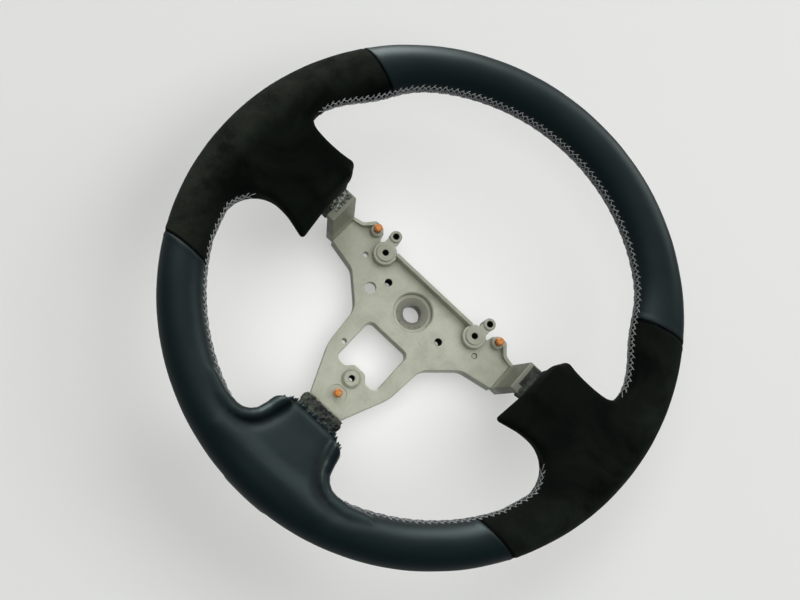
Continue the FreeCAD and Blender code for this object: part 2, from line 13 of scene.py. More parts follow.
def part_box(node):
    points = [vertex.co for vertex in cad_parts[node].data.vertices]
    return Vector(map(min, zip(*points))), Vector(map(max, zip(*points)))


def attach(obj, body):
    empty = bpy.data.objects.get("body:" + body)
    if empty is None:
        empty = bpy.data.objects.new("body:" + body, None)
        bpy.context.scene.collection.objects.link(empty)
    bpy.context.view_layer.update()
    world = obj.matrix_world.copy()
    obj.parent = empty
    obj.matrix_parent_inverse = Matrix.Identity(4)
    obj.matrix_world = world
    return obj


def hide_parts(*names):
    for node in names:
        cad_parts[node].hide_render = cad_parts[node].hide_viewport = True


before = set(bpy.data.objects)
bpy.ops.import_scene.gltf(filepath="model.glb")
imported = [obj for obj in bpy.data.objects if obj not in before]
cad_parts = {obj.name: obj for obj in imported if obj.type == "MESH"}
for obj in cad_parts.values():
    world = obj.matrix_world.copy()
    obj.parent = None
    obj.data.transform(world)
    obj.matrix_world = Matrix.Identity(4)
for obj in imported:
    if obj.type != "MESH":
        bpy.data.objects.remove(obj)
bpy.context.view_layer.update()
MM = 0.001

# ---- places read from the frame, in millimetres ----
ring_low, ring_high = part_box("rim_ring")
RIM_Y = (ring_low.y + ring_high.y) / 2 / MM
RING_ROD_RADIUS = (ring_high.y - ring_low.y) / 2 / MM
RIM_RADIUS = (ring_high.x - ring_low.x) / 2 / MM - RING_ROD_RADIUS

# ---- sizes the covers share with the frame's source ----
GRIP_RADIUS = 15.4
COVER = 1.2              # thickness of the leather and the suede
PAD_SINK = 0.6           # depth of a pad's faces below the planes that touch the grip
PAD_BACK_ROUND = 9.0
FRONT_SLOPE = math.radians(20.0)
BACK_SLOPE = math.radians(8.0)
ARM_FRONT = -44.0 - RIM_Y
ARM_WALL = 5.5
RIDGE_BACK = -34.5 - RIM_Y
SIDE_ARM_Z = (-2.2, 23.4)
TONGUE_HALF = 15.5
JOINT_START = 60.0       # the joints are lines from here outwards
TOP_JOINT = ((JOINT_START, 74.9), (210.0, 106.7))
LOW_JOINT = ((JOINT_START, -89.1), (210.0, -102.3))
SIDE_PAD = [
    (166.0, 52.0, 0.0),
    (149.0, 50.0, 0.0),
    (146.0, 28.8, 10.0),
    (122.0, 28.2, 60.0),
    (104.0, 34.6, 3.5),
    (98.6, 12.0, 30.0),
    (92.2, -33.2, 2.6),
    (110.0, -29.2, 40.0),
    (141.8, -28.6, 24.0),
    (141.8, -57.0, 10.0),
    (136.0, -76.0, 0.0),
    (152.0, -84.0, 0.0),
    (166.0, -40.0, 0.0),
]
LOW_PAD_HALF = [
    (119.4, 17.0, 0.0),
    (124.6, 29.0, 5.0),
    (146.0, 30.5, 13.0),
    (148.6, 49.0, 0.0),
    (166.0, 44.0, 0.0),
]
SIDE_PAD_REACH = 70.0    # the side pads and their blends lie outside this x,
SIDE_PAD_LOW = -112.0    # and between these heights
SIDE_PAD_HIGH = 76.0
LOW_PAD_TOP = -95.0      # the bottom pad lies below this height,
LOW_PAD_REACH = 100.0    # and inside this x

# ---- sizes of the covers, the threads and the foam alone ----
TOP_FULLER = 2.7         # extra depth of the grip's inner side over the top
THUMB_FULLER = 5.0       # and again where the thumbs rest
THUMB_ANGLE = 31.5
THUMB_SPREAD = 9.0
SIDE_FRONT_ROUND = 5.0
LOW_FRONT_ROUND = 4.0
PAD_BLEND = 5.0          # between the grip and a pad
RIDGE_BLEND = 7.0        # between a pad and the padding behind its arm
RIDGE_ROUND = 4.5
BEAD_BLEND = 2.6
BEAD_END_ROUND = 2.0
STITCH = 8.5             # how far one slanted thread runs along the edge
HOLE_OFFSET = 3.9        # from the edge's middle to its needle holes
THREAD_RADIUS = 0.30
SEAM_PITCH = 4.2
SEAM_HALF = 2.3          # from a spoke seam's middle to its needle holes
SEAM_THREAD_RADIUS = 0.36
JOINT_DEPTH = 0.85
TURNED_EDGE = 0.8        # half the width of the strip turned under at a joint
DULL_WIDTH = 1.2
FOAM_GAP = 0.4           # between a cover's inside and the foam
CELL = 1.5
TORN_THICKNESS = 1.1
FOAM_CELL = 4.0
SCRAP_CELL = 0.8
FIELD_LOW = (-190.0, -22.0, -190.0)
FIELD_HIGH = (190.0, 50.0, 190.0)
FAR = 1e9


# ---- distance fields, millimetres; x, z across the wheel, w along the column ----

def rounded_corners(corners, steps=9):
    """The closed outline of a corner list, its arcs as short runs."""
    points = np.array([(x, z) for x, z, r in corners])
    result = []
    for index, (x, z, radius) in enumerate(corners):
        here = points[index]
        if radius == 0.0:
            result.append(here)
            continue
        before = points[index - 1] - here
        after = points[(index + 1) % len(points)] - here
        before = before / np.linalg.norm(before)
        after = after / np.linalg.norm(after)
        half = math.acos(np.clip(before @ after, -1, 1)) / 2
        reach = radius / math.tan(half)
        middle = before + after
        centre = here + middle / np.linalg.norm(middle) * radius / math.sin(half)
        start = here + before * reach - centre
        end = here + after * reach - centre
        sweep = math.atan2(start[0] * end[1] - start[1] * end[0], start @ end)
        for step in range(steps + 1):
            turn = sweep * step / steps
            c, s = math.cos(turn), math.sin(turn)
            turned = np.array([c * start[0] - s * start[1], s * start[0] + c * start[1]])
            result.append(centre + turned)
    return np.array(result)


class Outline:
    """Signed distance to a closed outline, looked up on a fine grid."""

    def __init__(self, corners, margin=26.0, step=0.8):
        line = rounded_corners(corners)
        self.step = step
        self.low = line.min(0) - margin
        size = np.ceil((line.max(0) + margin - self.low) / step).astype(int) + 1
        gx, gz = np.meshgrid(np.arange(size[0]), np.arange(size[1]), indexing="ij")
        at = np.stack([gx, gz], -1).reshape(-1, 2) * step + self.low
        best = np.full(len(at), FAR)
        inside = np.zeros(len(at), bool)
        for a, b in zip(line, np.roll(line, -1, 0)):
            run = b - a
            length = run @ run
            if length < 1e-9:
                continue
            t = np.clip((at - a) @ run / length, 0, 1)
            gap = at - a - t[:, None] * run
            best = np.minimum(best, (gap ** 2).sum(1))
            crosses = (a[1] > at[:, 1]) != (b[1] > at[:, 1])
            level = a[0] + (at[:, 1] - a[1]) * run[0] / (run[1] if run[1] else 1e-9)
            inside ^= crosses & (at[:, 0] < level)
        self.field = (np.sqrt(best) * np.where(inside, -1, 1)).reshape(size)

    def distance(self, x, z):
        shape = self.field.shape
        u = np.clip((x - self.low[0]) / self.step, 0, shape[0] - 1.001)
        v = np.clip((z - self.low[1]) / self.step, 0, shape[1] - 1.001)
        i, j = u.astype(int), v.astype(int)
        fu, fv = u - i, v - j
        f = self.field
        near = f[i, j] * (1 - fv) + f[i, j + 1] * fv
        far = f[i + 1, j] * (1 - fv) + f[i + 1, j + 1] * fv
        return near * (1 - fu) + far * fu


def smooth_union(a, b, k):
    """The nearer of two distances, blended over k where they meet."""
    h = np.clip(0.5 + 0.5 * (b - a) / k, 0, 1)
    return b * (1 - h) + a * h - k * h * (1 - h)


def rounded_intersection(parts, radius):
    """Distance to what all parts share, its convex edges rounded."""
    raised = [part + radius for part in parts]
    total = sum(np.maximum(part, 0) ** 2 for part in raised)
    highest = raised[0]
    for part in raised[1:]:
        highest = np.maximum(highest, part)
    return np.sqrt(total) + np.minimum(highest, 0) - radius


def smoothstep(low, high, value):
    """0 at low, 1 at high, eased between; low may be the larger."""
    t = np.clip((value - low) / (high - low), 0, 1)
    return t * t * (3 - 2 * t)


def hump(value, width):
    """A smooth bump: 1 where value is 0, nearly 0 past twice the width."""
    return np.exp(-(value / width) ** 2)


def grip_field(x, w, z):
    """The round of the rim, fuller on its inner side at the thumbs and the top."""
    rho = np.hypot(x, z)
    angle = np.degrees(np.arctan2(z, np.abs(x)))
    fuller = TOP_FULLER * smoothstep(-5, 15, angle)
    fuller = fuller + THUMB_FULLER * hump(angle - THUMB_ANGLE, THUMB_SPREAD)
    inward = RIM_RADIUS - rho
    inward = np.where(inward > 0, inward * GRIP_RADIUS / (GRIP_RADIUS + fuller), inward)
    return np.hypot(inward, w) - GRIP_RADIUS


def pad_planes(across, w):
    """Distances to the front and back of a pad; across is the way outward."""
    front = -(across - RIM_RADIUS) * math.sin(FRONT_SLOPE) - w * math.cos(FRONT_SLOPE) - GRIP_RADIUS
    back_x = RIM_RADIUS - GRIP_RADIUS * math.sin(BACK_SLOPE)
    back_w = GRIP_RADIUS * math.cos(BACK_SLOPE)
    back = (across - back_x) * math.sin(BACK_SLOPE) + (w - back_w) * math.cos(BACK_SLOPE)
    return front + PAD_SINK, back + PAD_SINK


def pad_front(across):
    """The w at which a pad's front plane lies."""
    rise = GRIP_RADIUS - PAD_SINK + (across - RIM_RADIUS) * math.sin(FRONT_SLOPE)
    return -rise / math.cos(FRONT_SLOPE)


def ridge_field(across, w, along, start, middle, half):
    """The padding behind an arm: level for a short way, then falling towards the rim."""
    level = 12.0
    run, fall = 44.5, 34.5
    front = 4.0
    parts = [
        start - across,
        w - RIDGE_BACK,
        ((across - start - level) * fall + (w - RIDGE_BACK) * run) / math.hypot(run, fall),
        front - w,
        np.abs(along - middle) - half,
    ]
    return rounded_intersection(parts, RIDGE_ROUND)


def tube_chain(points, radii, x, w, z):
    """Distance to a chain of tapered round bars."""
    best = None
    for (a, ra), (b, rb) in zip(zip(points, radii), zip(points[1:], radii[1:])):
        run = b - a
        dx, dw, dz = x - a[0], w - a[1], z - a[2]
        t = np.clip((dx * run[0] + dw * run[1] + dz * run[2]) / (run @ run), 0, 1)
        gap = np.sqrt((dx - t * run[0]) ** 2 + (dw - t * run[1]) ** 2 + (dz - t * run[2]) ** 2)
        gap = gap - (ra + (rb - ra) * t)
        best = gap if best is None else np.minimum(best, gap)
    return best


SPOKE_MIDDLE = sum(SIDE_ARM_Z) / 2
SIDE_RIDGE = (99.5, SPOKE_MIDDLE, 16.2)
LOW_RIDGE = (122.0, 0.0, TONGUE_HALF + 3.4)
SIDE_OUTLINE = Outline(SIDE_PAD)
LOW_OUTLINE = Outline(LOW_PAD_HALF + [(x, -z, r) for x, z, r in reversed(LOW_PAD_HALF)])


def bead_line():
    """The rolled bead beside the bottom pad: places and radii in (across, w, along)."""
    plan = [(119.0, 21.8), (128.0, 23.2), (134.0, 24.4), (142.5, 27.0), (147.6, 31.3), (150.9, 37.0),
            (152.0, 43.5), (150.5, 55.0), (146.0, 66.0), (141.0, 76.0)]
    radii = [4.6, 5.4, 5.6, 5.8, 5.8, 5.8, 5.8, 5.4, 4.6, 3.4]
    rise = [0.9, 1.2, 1.3, 1.4, 1.5, 1.4, 1.1, 0.5, 0.0, -0.8]
    points = []
    for (across, along), radius, up in zip(plan, radii, rise):
        rho = math.hypot(across, along)
        inward = min(abs(RIM_RADIUS - rho), GRIP_RADIUS - 0.5)
        rim_w = -math.sqrt(GRIP_RADIUS ** 2 - inward ** 2)
        top = min(pad_front(across), rim_w)
        points.append(np.array([across, top - up + radius, along]))
    return points, radii


BEAD_POINTS, BEAD_RADII = bead_line()
CREASE = [(117.0, 18.0), (125.8, 19.3), (132.6, 20.9), (139.2, 22.6), (144.6, 25.3), (149.3, 29.4),
          (152.7, 34.8), (154.5, 41.9), (154.7, 49.9), (152.8, 58.5), (149.0, 67.3), (144.5, 75.3)]
CREASE_DEPTH = [0.9, 1.2, 1.5, 1.7, 1.8, 1.8, 1.7, 1.4, 1.0, 0.5, 0.1, 0.0]
CREASE_WIDTHS = (1.8, 4.6)       # towards the bead and towards the pad


def crease_depth(across, w, along):
    """How far the soft crease inside the bead is pressed into the pad's front."""
    nearest = np.full(len(across), FAR)
    depth = np.zeros(len(across))
    width = np.ones(len(across))
    spans = zip(zip(CREASE, CREASE_DEPTH), zip(CREASE[1:], CREASE_DEPTH[1:]))
    for (a, deep_a), (b, deep_b) in spans:
        run_x, run_z = b[0] - a[0], b[1] - a[1]
        t = ((across - a[0]) * run_x + (along - a[1]) * run_z) / (run_x ** 2 + run_z ** 2)
        t = np.clip(t, 0, 1)
        gap = np.hypot(across - a[0] - t * run_x, along - a[1] - t * run_z)
        closer = gap < nearest
        depth = np.where(closer, deep_a + (deep_b - deep_a) * t, depth)
        bead_side = (along - a[1]) * run_x - (across - a[0]) * run_z > 0
        width = np.where(closer, np.where(bead_side, *CREASE_WIDTHS), width)
        nearest = np.minimum(nearest, gap)
    return depth * hump(nearest, width) * smoothstep(8.0, -2.0, w)


def padded_spoke(outline, a, b, c, front_round, ridge):
    """A pad with its ridge; ridge is its start, middle and half width."""
    front, back = pad_planes(a, b)
    rear = rounded_intersection([outline.distance(a, c), back], PAD_BACK_ROUND)
    wing = rounded_intersection([rear, front], front_round)
    return smooth_union(wing, ridge_field(a, b, c, *ridge), RIDGE_BLEND)


def skin(p):
    """Signed distance to the outside of the covers at points p (n, 3) = x, w, z."""
    x, w, z = np.abs(p[:, 0]), p[:, 1], p[:, 2]
    grip = grip_field(x, w, z)
    field = grip.copy()
    side = (x > SIDE_PAD_REACH) & (z > SIDE_PAD_LOW) & (z < SIDE_PAD_HIGH)
    if side.any():
        pad = padded_spoke(SIDE_OUTLINE, x[side], w[side], z[side], SIDE_FRONT_ROUND, SIDE_RIDGE)
        field[side] = smooth_union(field[side], pad, PAD_BLEND)
    low = (z < LOW_PAD_TOP) & (x < LOW_PAD_REACH)
    if low.any():
        a, b, c = -z[low], w[low], x[low]
        pad = padded_spoke(LOW_OUTLINE, a, b, c, LOW_FRONT_ROUND, LOW_RIDGE)
        both = smooth_union(field[low], pad, PAD_BLEND)
        bead = tube_chain(BEAD_POINTS, BEAD_RADII, a, b, c)
        (end_a, end_c, _), (corner_a, corner_c, _) = LOW_PAD_HALF[:2]
        run_a, run_c = corner_a - end_a, corner_c - end_c
        past_end = ((c - end_c) * run_a - (a - end_a) * run_c) / math.hypot(run_a, run_c)
        bead = rounded_intersection([bead, past_end], BEAD_END_ROUND)
        field[low] = smooth_union(both, bead, BEAD_BLEND) + crease_depth(a, b, c)
    return field


def gradient(field, p, step=0.25):
    """The field's slope at each point, by central differences."""
    result = np.zeros_like(p)
    for axis in range(3):
        shift = np.zeros(3)
        shift[axis] = step
        result[:, axis] = (field(p + shift) - field(p - shift)) / (2 * step)
    return result


def onto(field, p, rounds=3):
    """Points moved along the field's slope to its surface."""
    for _ in range(rounds):
        slope = gradient(field, p)
        size = np.maximum((slope ** 2).sum(1), 0.05)
        p = p - slope * (field(p) / size)[:, None]
    return p


def normals_of(field, p):
    """The unit normals of the field's surfaces at each point."""
    slope = gradient(field, p)
    return slope / np.maximum(np.linalg.norm(slope, axis=1), 1e-6)[:, None]


def surface_net(field, low, high, cell):
    """Vertices and quads of a field's surface, found on a regular grid."""
    counts = np.ceil((np.array(high) - np.array(low)) / cell).astype(int) + 1
    axes = [low[a] + cell * np.arange(counts[a]) for a in range(3)]
    values = np.empty(counts, np.float32)
    for i, x in enumerate(axes[0]):
        gw, gz = np.meshgrid(axes[1], axes[2], indexing="ij")
        p = np.stack([np.full(gw.size, x), gw.ravel(), gz.ravel()], 1)
        values[i] = field(p).reshape(gw.shape)
    inside = values < 0
    base = tuple(n - 1 for n in counts)
    total = np.zeros(base + (3,), np.float32)
    hits = np.zeros(base, np.int32)
    for axis in range(3):
        others = [a for a in range(3) if a != axis]
        for corner in product((0, 1), repeat=2):
            window = [slice(0, n) for n in base]
            for other, start in zip(others, corner):
                window[other] = slice(start, start + base[other])
            far = list(window)
            far[axis] = slice(1, 1 + base[axis])
            v0, v1 = values[tuple(window)], values[tuple(far)]
            change = (v0 < 0) != (v1 < 0)
            total[..., axis] += np.where(change, v0 / np.where(change, v0 - v1, 1), 0)
            for other, start in zip(others, corner):
                total[..., other] += np.where(change, start, 0)
            hits += change
    cells = np.argwhere(hits > 0)
    number = np.full(base, -1, np.int64)
    number[tuple(cells.T)] = np.arange(len(cells))
    verts = cells + total[tuple(cells.T)] / hits[tuple(cells.T)][:, None]
    verts = verts * cell + np.array(low)
    quads = []
    for axis in range(3):
        b, c = [(axis + 1) % 3, (axis + 2) % 3]
        window = [slice(1, n - 1) for n in counts]
        window[axis] = slice(0, counts[axis] - 1)
        far = list(window)
        far[axis] = slice(1, counts[axis])
        in0, in1 = inside[tuple(window)], inside[tuple(far)]
        edges = np.argwhere(in0 != in1)
        flip = in0[tuple(edges.T)]
        offset = np.array([1, 1, 1])
        offset[axis] = 0
        edges = edges + offset
        ring = []
        for db, dc in ((-1, -1), (0, -1), (0, 0), (-1, 0)):
            at = edges.copy()
            at[:, b] += db
            at[:, c] += dc
            ring.append(number[tuple(at.T)])
        ring = np.stack(ring, 1)
        ring[~flip] = ring[~flip][:, ::-1]
        quads.append(ring)
    return verts, np.concatenate(quads)


def relaxed(verts, quads, field, rounds=3):
    """Evened-out vertices, kept on the surface."""
    pairs = np.concatenate([quads[:, [i, (i + 1) % 4]] for i in range(4)])
    pairs = np.unique(np.sort(pairs, 1), axis=0)
    count = np.bincount(pairs.ravel(), minlength=len(verts))
    verts = onto(field, verts, 2)
    for _ in range(rounds):
        mean = np.zeros_like(verts)
        for axis in range(3):
            for here, there in ((0, 1), (1, 0)):
                weights = verts[pairs[:, there], axis]
                mean[:, axis] += np.bincount(pairs[:, here], weights, len(verts))
        mean /= np.maximum(count, 1)[:, None]
        verts = onto(field, verts + 0.6 * (mean - verts), 1)
    return onto(field, verts, 1)


# ---- meshes ----

def to_frame(p):
    """Field millimetres to row-frame metres."""
    p = np.array(p, float).reshape(-1, 3)
    return np.stack([p[:, 0], p[:, 1] + RIM_Y, p[:, 2]], 1) * MM


def in_scene(name, data):
    """An object in the scene for a mesh, a light or a camera."""
    made = bpy.data.objects.new(name, data)
    bpy.context.scene.collection.objects.link(made)
    return made


def new_object(name, verts, faces, smooth=True):
    """A mesh object in the scene, from places in metres."""
    mesh = bpy.data.meshes.new(name)
    mesh.from_pydata([tuple(v) for v in verts], [], [tuple(int(i) for i in f) for f in faces])
    mesh.validate()
    if smooth:
        mesh.polygons.foreach_set("use_smooth", [True] * len(mesh.polygons))
    mesh.update()
    return in_scene(name, mesh)


def thickened(obj, thickness, offset):
    """The object with its sheet made a closed solid, thickness in millimetres."""
    modifier = obj.modifiers.new("thickness", "SOLIDIFY")
    modifier.thickness = thickness * MM
    modifier.offset = offset
    graph = bpy.context.evaluated_depsgraph_get()
    done = bpy.data.meshes.new_from_object(obj.evaluated_get(graph))
    obj.modifiers.clear()
    obj.data = done
    return obj


def grid_faces(rows, columns, round_rows=False, round_columns=False):
    """Quads over rows of vertices, joined back to the start where they go round."""
    faces = []
    for row in range(rows if round_rows else rows - 1):
        here, there = row * columns, (row + 1) % rows * columns
        for i in range(columns if round_columns else columns - 1):
            j = (i + 1) % columns
            faces.append((here + i, here + j, there + j, there + i))
    return faces


def tube(path, radius):
    """Vertices and faces of a round tube along a path, closed at its ends."""
    sides = 6
    path = np.array(path, float)
    tangent = np.gradient(path, axis=0)
    tangent /= np.maximum(np.linalg.norm(tangent, axis=1), 1e-9)[:, None]
    helper = np.array([0.31, 0.9, 0.17])
    side = np.cross(tangent, helper)
    side /= np.maximum(np.linalg.norm(side, axis=1), 1e-9)[:, None]
    up = np.cross(side, tangent)
    turns = np.arange(sides) * math.tau / sides
    cos, sin = np.cos(turns)[None, :, None], np.sin(turns)[None, :, None]
    verts = path[:, None] + radius * (cos * side[:, None] + sin * up[:, None])
    faces = grid_faces(len(path), sides, round_columns=True)
    faces.append(tuple(range(sides))[::-1])
    faces.append(tuple((len(path) - 1) * sides + j for j in range(sides)))
    return verts.reshape(-1, 3), faces


def tubes_object(name, paths, radius):
    """Many tubes as one object."""
    verts, faces, start = [], [], 0
    for path in paths:
        v, f = tube(path, radius)
        verts.append(v)
        faces += [tuple(i + start for i in face) for face in f]
        start += len(v)
    return new_object(name, to_frame(np.concatenate(verts)), faces)


# ---- where the threads run ----

LACE_FORWARD = -0.5      # the lacing's middle lies this far in front of the edge's
SKIN_STEP = 0.9          # share of the distance walked in one step towards the skin


def reach_to_skin(centre, w, angles, rounds=45):
    """How far the skin is from an opening's middle, in the given directions."""
    direction = np.stack([np.cos(angles), np.zeros_like(angles), np.sin(angles)], 1)
    middle = np.stack([np.full(len(angles), centre[0]), np.broadcast_to(w, len(angles)),
                       np.full(len(angles), centre[1])], 1)
    reach = np.zeros(len(angles))
    for _ in range(rounds):
        reach += np.maximum(skin(middle + direction * reach[:, None]), 0) * SKIN_STEP
    return middle + direction * reach[:, None], reach


def edge_path(centre, start, end):
    """The innermost line of an opening's edge, and the length along it."""
    coarse = np.radians(np.linspace(start, end, 220))
    levels = np.arange(-6.0, 13.0, 1.5)
    reach = np.stack([reach_to_skin(centre, w, coarse)[1] for w in levels])
    weight = np.exp(-(reach - reach.min(0)) / 0.12)
    middle = (weight * levels[:, None]).sum(0) / weight.sum(0)
    window = np.hanning(15)
    padded = np.concatenate([np.full(7, middle[0]), middle, np.full(7, middle[-1])])
    middle = np.convolve(padded, window / window.sum(), "valid")
    fine = np.radians(np.linspace(start, end, 1400))
    order = np.argsort(coarse)
    level = np.interp(fine, coarse[order], middle[order]) + LACE_FORWARD
    points, _ = reach_to_skin(centre, level, fine)
    return points, lengths_along(points)


def lengths_along(points):
    """The length along a path at each of its points."""
    return np.concatenate([[0], np.cumsum(np.linalg.norm(np.diff(points, axis=0), axis=1))])


def at_run(points, run, places):
    """Points at given lengths along a path."""
    return np.stack([np.interp(places, run, points[:, a]) for a in range(3)], 1)


OPENINGS = {             # middle of the opening in mm, first and last direction in degrees
    "top_lacing": ((0.0, 62.0), -10.6, 190.6),
    "right_lacing": ((84.0, -84.0), 47.0, -121.0),
    "left_lacing": ((-84.0, -84.0), 133.0, 301.0),
}
EDGES = {name: edge_path(*place) for name, place in OPENINGS.items()}


def smooth_line(knots, per_span=5):
    """A rounded line through a few knots."""
    knots = np.array(knots, float)
    ends = np.vstack([2 * knots[0] - knots[1], knots, 2 * knots[-1] - knots[-2]])
    line = []
    for i in range(1, len(ends) - 2):
        p0, p1, p2, p3 = ends[i - 1:i + 3]
        for step in range(per_span):
            t = step / per_span
            line.append(0.5 * (2 * p1 + (p2 - p0) * t + (2 * p0 - 5 * p1 + 4 * p2 - p3) * t ** 2
                               + (3 * p1 - p0 - 3 * p2 + p3) * t ** 3))
    line.append(knots[-1])
    return np.array(line)


def lace_paths(name):
    """Thread paths and needle holes for one opening's lacing."""
    points, run = EDGES[name]
    count = int((run[-1] - 4) / STITCH)
    begin = (run[-1] - count * STITCH) / 2
    rng = np.random.default_rng(len(name) * 7 + 3)

    def lift(pairs, height):
        """(length, w) pairs put on the skin and raised by height."""
        pairs = np.array(pairs)
        on = at_run(points, run, pairs[:, 0])
        on[:, 1] += pairs[:, 1]
        on = onto(skin, on, 4)
        return on + normals_of(skin, on) * np.array(height)[:, None]

    paths, holes = [], []
    for i, side, phase in product(range(count), (-1, 1), (0.0, 0.5)):
        o = begin + (i + phase + (0.25 if side > 0 else 0.0)) * STITCH
        if o + STITCH > run[-1]:
            continue
        wobble = rng.normal(0, 0.24, 8)
        e = side * (HOLE_OFFSET + (0.5 if phase else -0.3))
        m = -side * 0.3
        zig = smooth_line([
            (o + wobble[0], e), (o + STITCH * 0.13, e * 0.82),
            (o + STITCH * 0.33, e * 0.42 + wobble[1]), (o + STITCH * 0.5, m + wobble[2]),
            (o + STITCH * 0.67, e * 0.42 + wobble[3]), (o + STITCH * 0.87, e * 0.82),
            (o + STITCH + wobble[4], e)])
        t = np.linspace(0, 1, len(zig))
        raised = 0.30 + (0.34 if phase else 0.0) + 0.30 * hump(t - 0.5, 0.16)
        sunk = 1.2 * hump(t, 0.06) + 1.2 * hump(t - 1.0, 0.06)
        paths.append(lift(zig, raised - sunk))
        hook = smooth_line([
            (o + 0.9 + wobble[5], e * 0.93), (o + 0.1, e * 1.10), (o - 1.2, e * 1.26 + wobble[6])], 4)
        t = np.linspace(0, 1, len(hook))
        paths.append(lift(hook, 0.40 - 0.8 * t ** 3))
        holes.append(lift([(o, e)], [0.0])[0])
    return paths, holes


LACES = {name: lace_paths(name) for name in OPENINGS}

SPOKE_LINES = {
    "right_spoke_seam": ((107.0, SPOKE_MIDDLE), (150.0, SPOKE_MIDDLE)),
    "left_spoke_seam": ((-107.0, SPOKE_MIDDLE), (-150.0, SPOKE_MIDDLE)),
    "bottom_spoke_seam": ((0.0, -129.0), (0.0, -152.0)),
}


def back_line(start, end):
    """A straight line across the covers' back, put on the skin, and the length along it."""
    t = np.linspace(0, 1, 160)[:, None]
    flat = np.array(start) * (1 - t) + np.array(end) * t
    points = np.stack([flat[:, 0], np.full(len(flat), 62.0), flat[:, 1]], 1)
    for _ in range(60):
        points[:, 1] -= np.maximum(skin(points), 0) * SKIN_STEP
    return points, lengths_along(points)


def spoke_seam_paths(name):
    """Slanted stitches that draw the cover's two edges together behind a spoke."""
    points, run = SPOKE_SEAMS[name]
    rng = np.random.default_rng(len(name) + 91)
    tangent = (points[-1] - points[0]) / np.linalg.norm(points[-1] - points[0])
    paths = []
    for i in range(int((run[-1] - 4) / SEAM_PITCH)):
        s = 2.0 + i * SEAM_PITCH
        for side in (-1, 1):
            wobble = rng.normal(0, 0.12, 3)
            reach = np.linspace(-0.25, 1.0, 9)
            on = at_run(points, run, s + (side > 0) * SEAM_PITCH / 2 + 1.5 * (1 - reach) + wobble[0])
            across = np.cross(normals_of(skin, on), tangent)
            on = onto(skin, on + across * (side * (SEAM_HALF + wobble[1]) * reach)[:, None])
            height = 0.34 - 1.0 * hump(reach - 1.0, 0.10) - 0.5 * hump(reach + 0.25, 0.15)
            paths.append(on + normals_of(skin, on) * height[:, None])
    return paths


SPOKE_SEAMS = {name: back_line(*ends) for name, ends in SPOKE_LINES.items()}


# ---- covers ----

def joint_gap(x, z, joint):
    """Signed distance from a joint line, positive towards 12 o'clock, either side."""
    (x0, z0), (x1, z1) = joint
    run_x, run_z = x1 - x0, z1 - z0
    size = math.hypot(run_x, run_z)
    return ((np.abs(x) - x0) * -run_z + (z - z0) * run_x) / size


def places_of(items, key):
    """Their x, y and z in millimetres."""
    places = np.empty(len(items) * 3)
    items.foreach_get(key, places)
    return (places.reshape(-1, 3) / MM).T


def mark_grooves(cover, edge):
    """Marks the vertices in the crease and the joints, where the cover is rough and darker (painted shade
    in the crease, dark joints), and the turned edges.
    """
    mesh = cover.data
    x, y, z = places_of(mesh.vertices, "co")
    depth = np.zeros(len(x))
    low = z < LOW_PAD_TOP
    # the crease part of this mark is painted shade; the leather turns it into a darker, rougher colour
    if low.any():
        depth[low] = crease_depth(-z[low], y[low] - RIM_Y, np.abs(x[low])) / max(CREASE_DEPTH)
    for joint in (TOP_JOINT, LOW_JOINT):
        depth = np.maximum(depth, hump(joint_gap(x, z, joint), DULL_WIDTH))
    layer = mesh.attributes.new("groove", "FLOAT", "POINT")
    layer.data.foreach_set("value", depth.astype(np.float32))
    mesh.materials.append(edge)
    x, _, z = places_of(mesh.polygons, "center")
    gap = np.minimum(np.abs(joint_gap(x, z, TOP_JOINT)), np.abs(joint_gap(x, z, LOW_JOINT)))
    at_joint = gap < TURNED_EDGE
    mesh.polygons.foreach_set("material_index", at_joint.astype(np.int32))


def cut_along(bm, keep, point, normal):
    """Cuts the faces near a plane so that an edge runs along it."""
    faces = [f for f in bm.faces if keep(f.calc_center_median())]
    edges = list({e for f in faces for e in f.edges})
    verts = list({v for f in faces for v in f.verts})
    bmesh.ops.bisect_plane(bm, geom=verts + edges + faces, plane_co=point, plane_no=normal, dist=1e-5)


JOINT_STEPS = (-1.5, -0.9, -0.4, 0.0, 0.4, 0.9, 1.5)


def cover_mesh():
    """The whole outer skin as one mesh, with edges along the panel joints."""
    verts, quads = surface_net(skin, FIELD_LOW, FIELD_HIGH, CELL)
    verts = relaxed(verts, quads, skin)
    bm = bmesh.new()
    made = [bm.verts.new(tuple(v)) for v in verts]
    for quad in quads:
        bm.faces.new([made[i] for i in quad])
    for joint, side in product((TOP_JOINT, LOW_JOINT), (-1, 1)):
        (x0, z0), (x1, z1) = joint
        normal = Vector((-(z1 - z0) * side, 0, x1 - x0)).normalized()

        def near(c, side=side, joint=joint):
            return c.x * side > JOINT_START and abs(joint_gap(c.x, c.z, joint)) < 4

        for step in JOINT_STEPS:
            point = Vector((x0 * side, 0, z0)) + normal * step
            cut_along(bm, near, point, normal)
    return bm


def groove(p, along, holes):
    """How far the skin is drawn in at joints, at the seam and at needle holes."""
    x, z = p[:, 0], p[:, 2]
    depth = np.zeros(len(p))
    on_rim = smoothstep(128, 140, np.hypot(x, z))
    for joint in (TOP_JOINT, LOW_JOINT):
        gap = np.abs(joint_gap(x, z, joint))
        depth += JOINT_DEPTH * np.clip(1 - gap / 1.25, 0, 1) ** 1.4 * on_rim
        depth -= 0.22 * hump(gap - 2.6, 1.3) * on_rim
    near = along < FAR
    depth[near] += 0.75 * hump(along[near], 0.9)
    depth[near] -= 0.18 * hump(along[near] - 3.0, 1.4)
    depth += 0.5 * hump(holes, 1.3)
    return depth


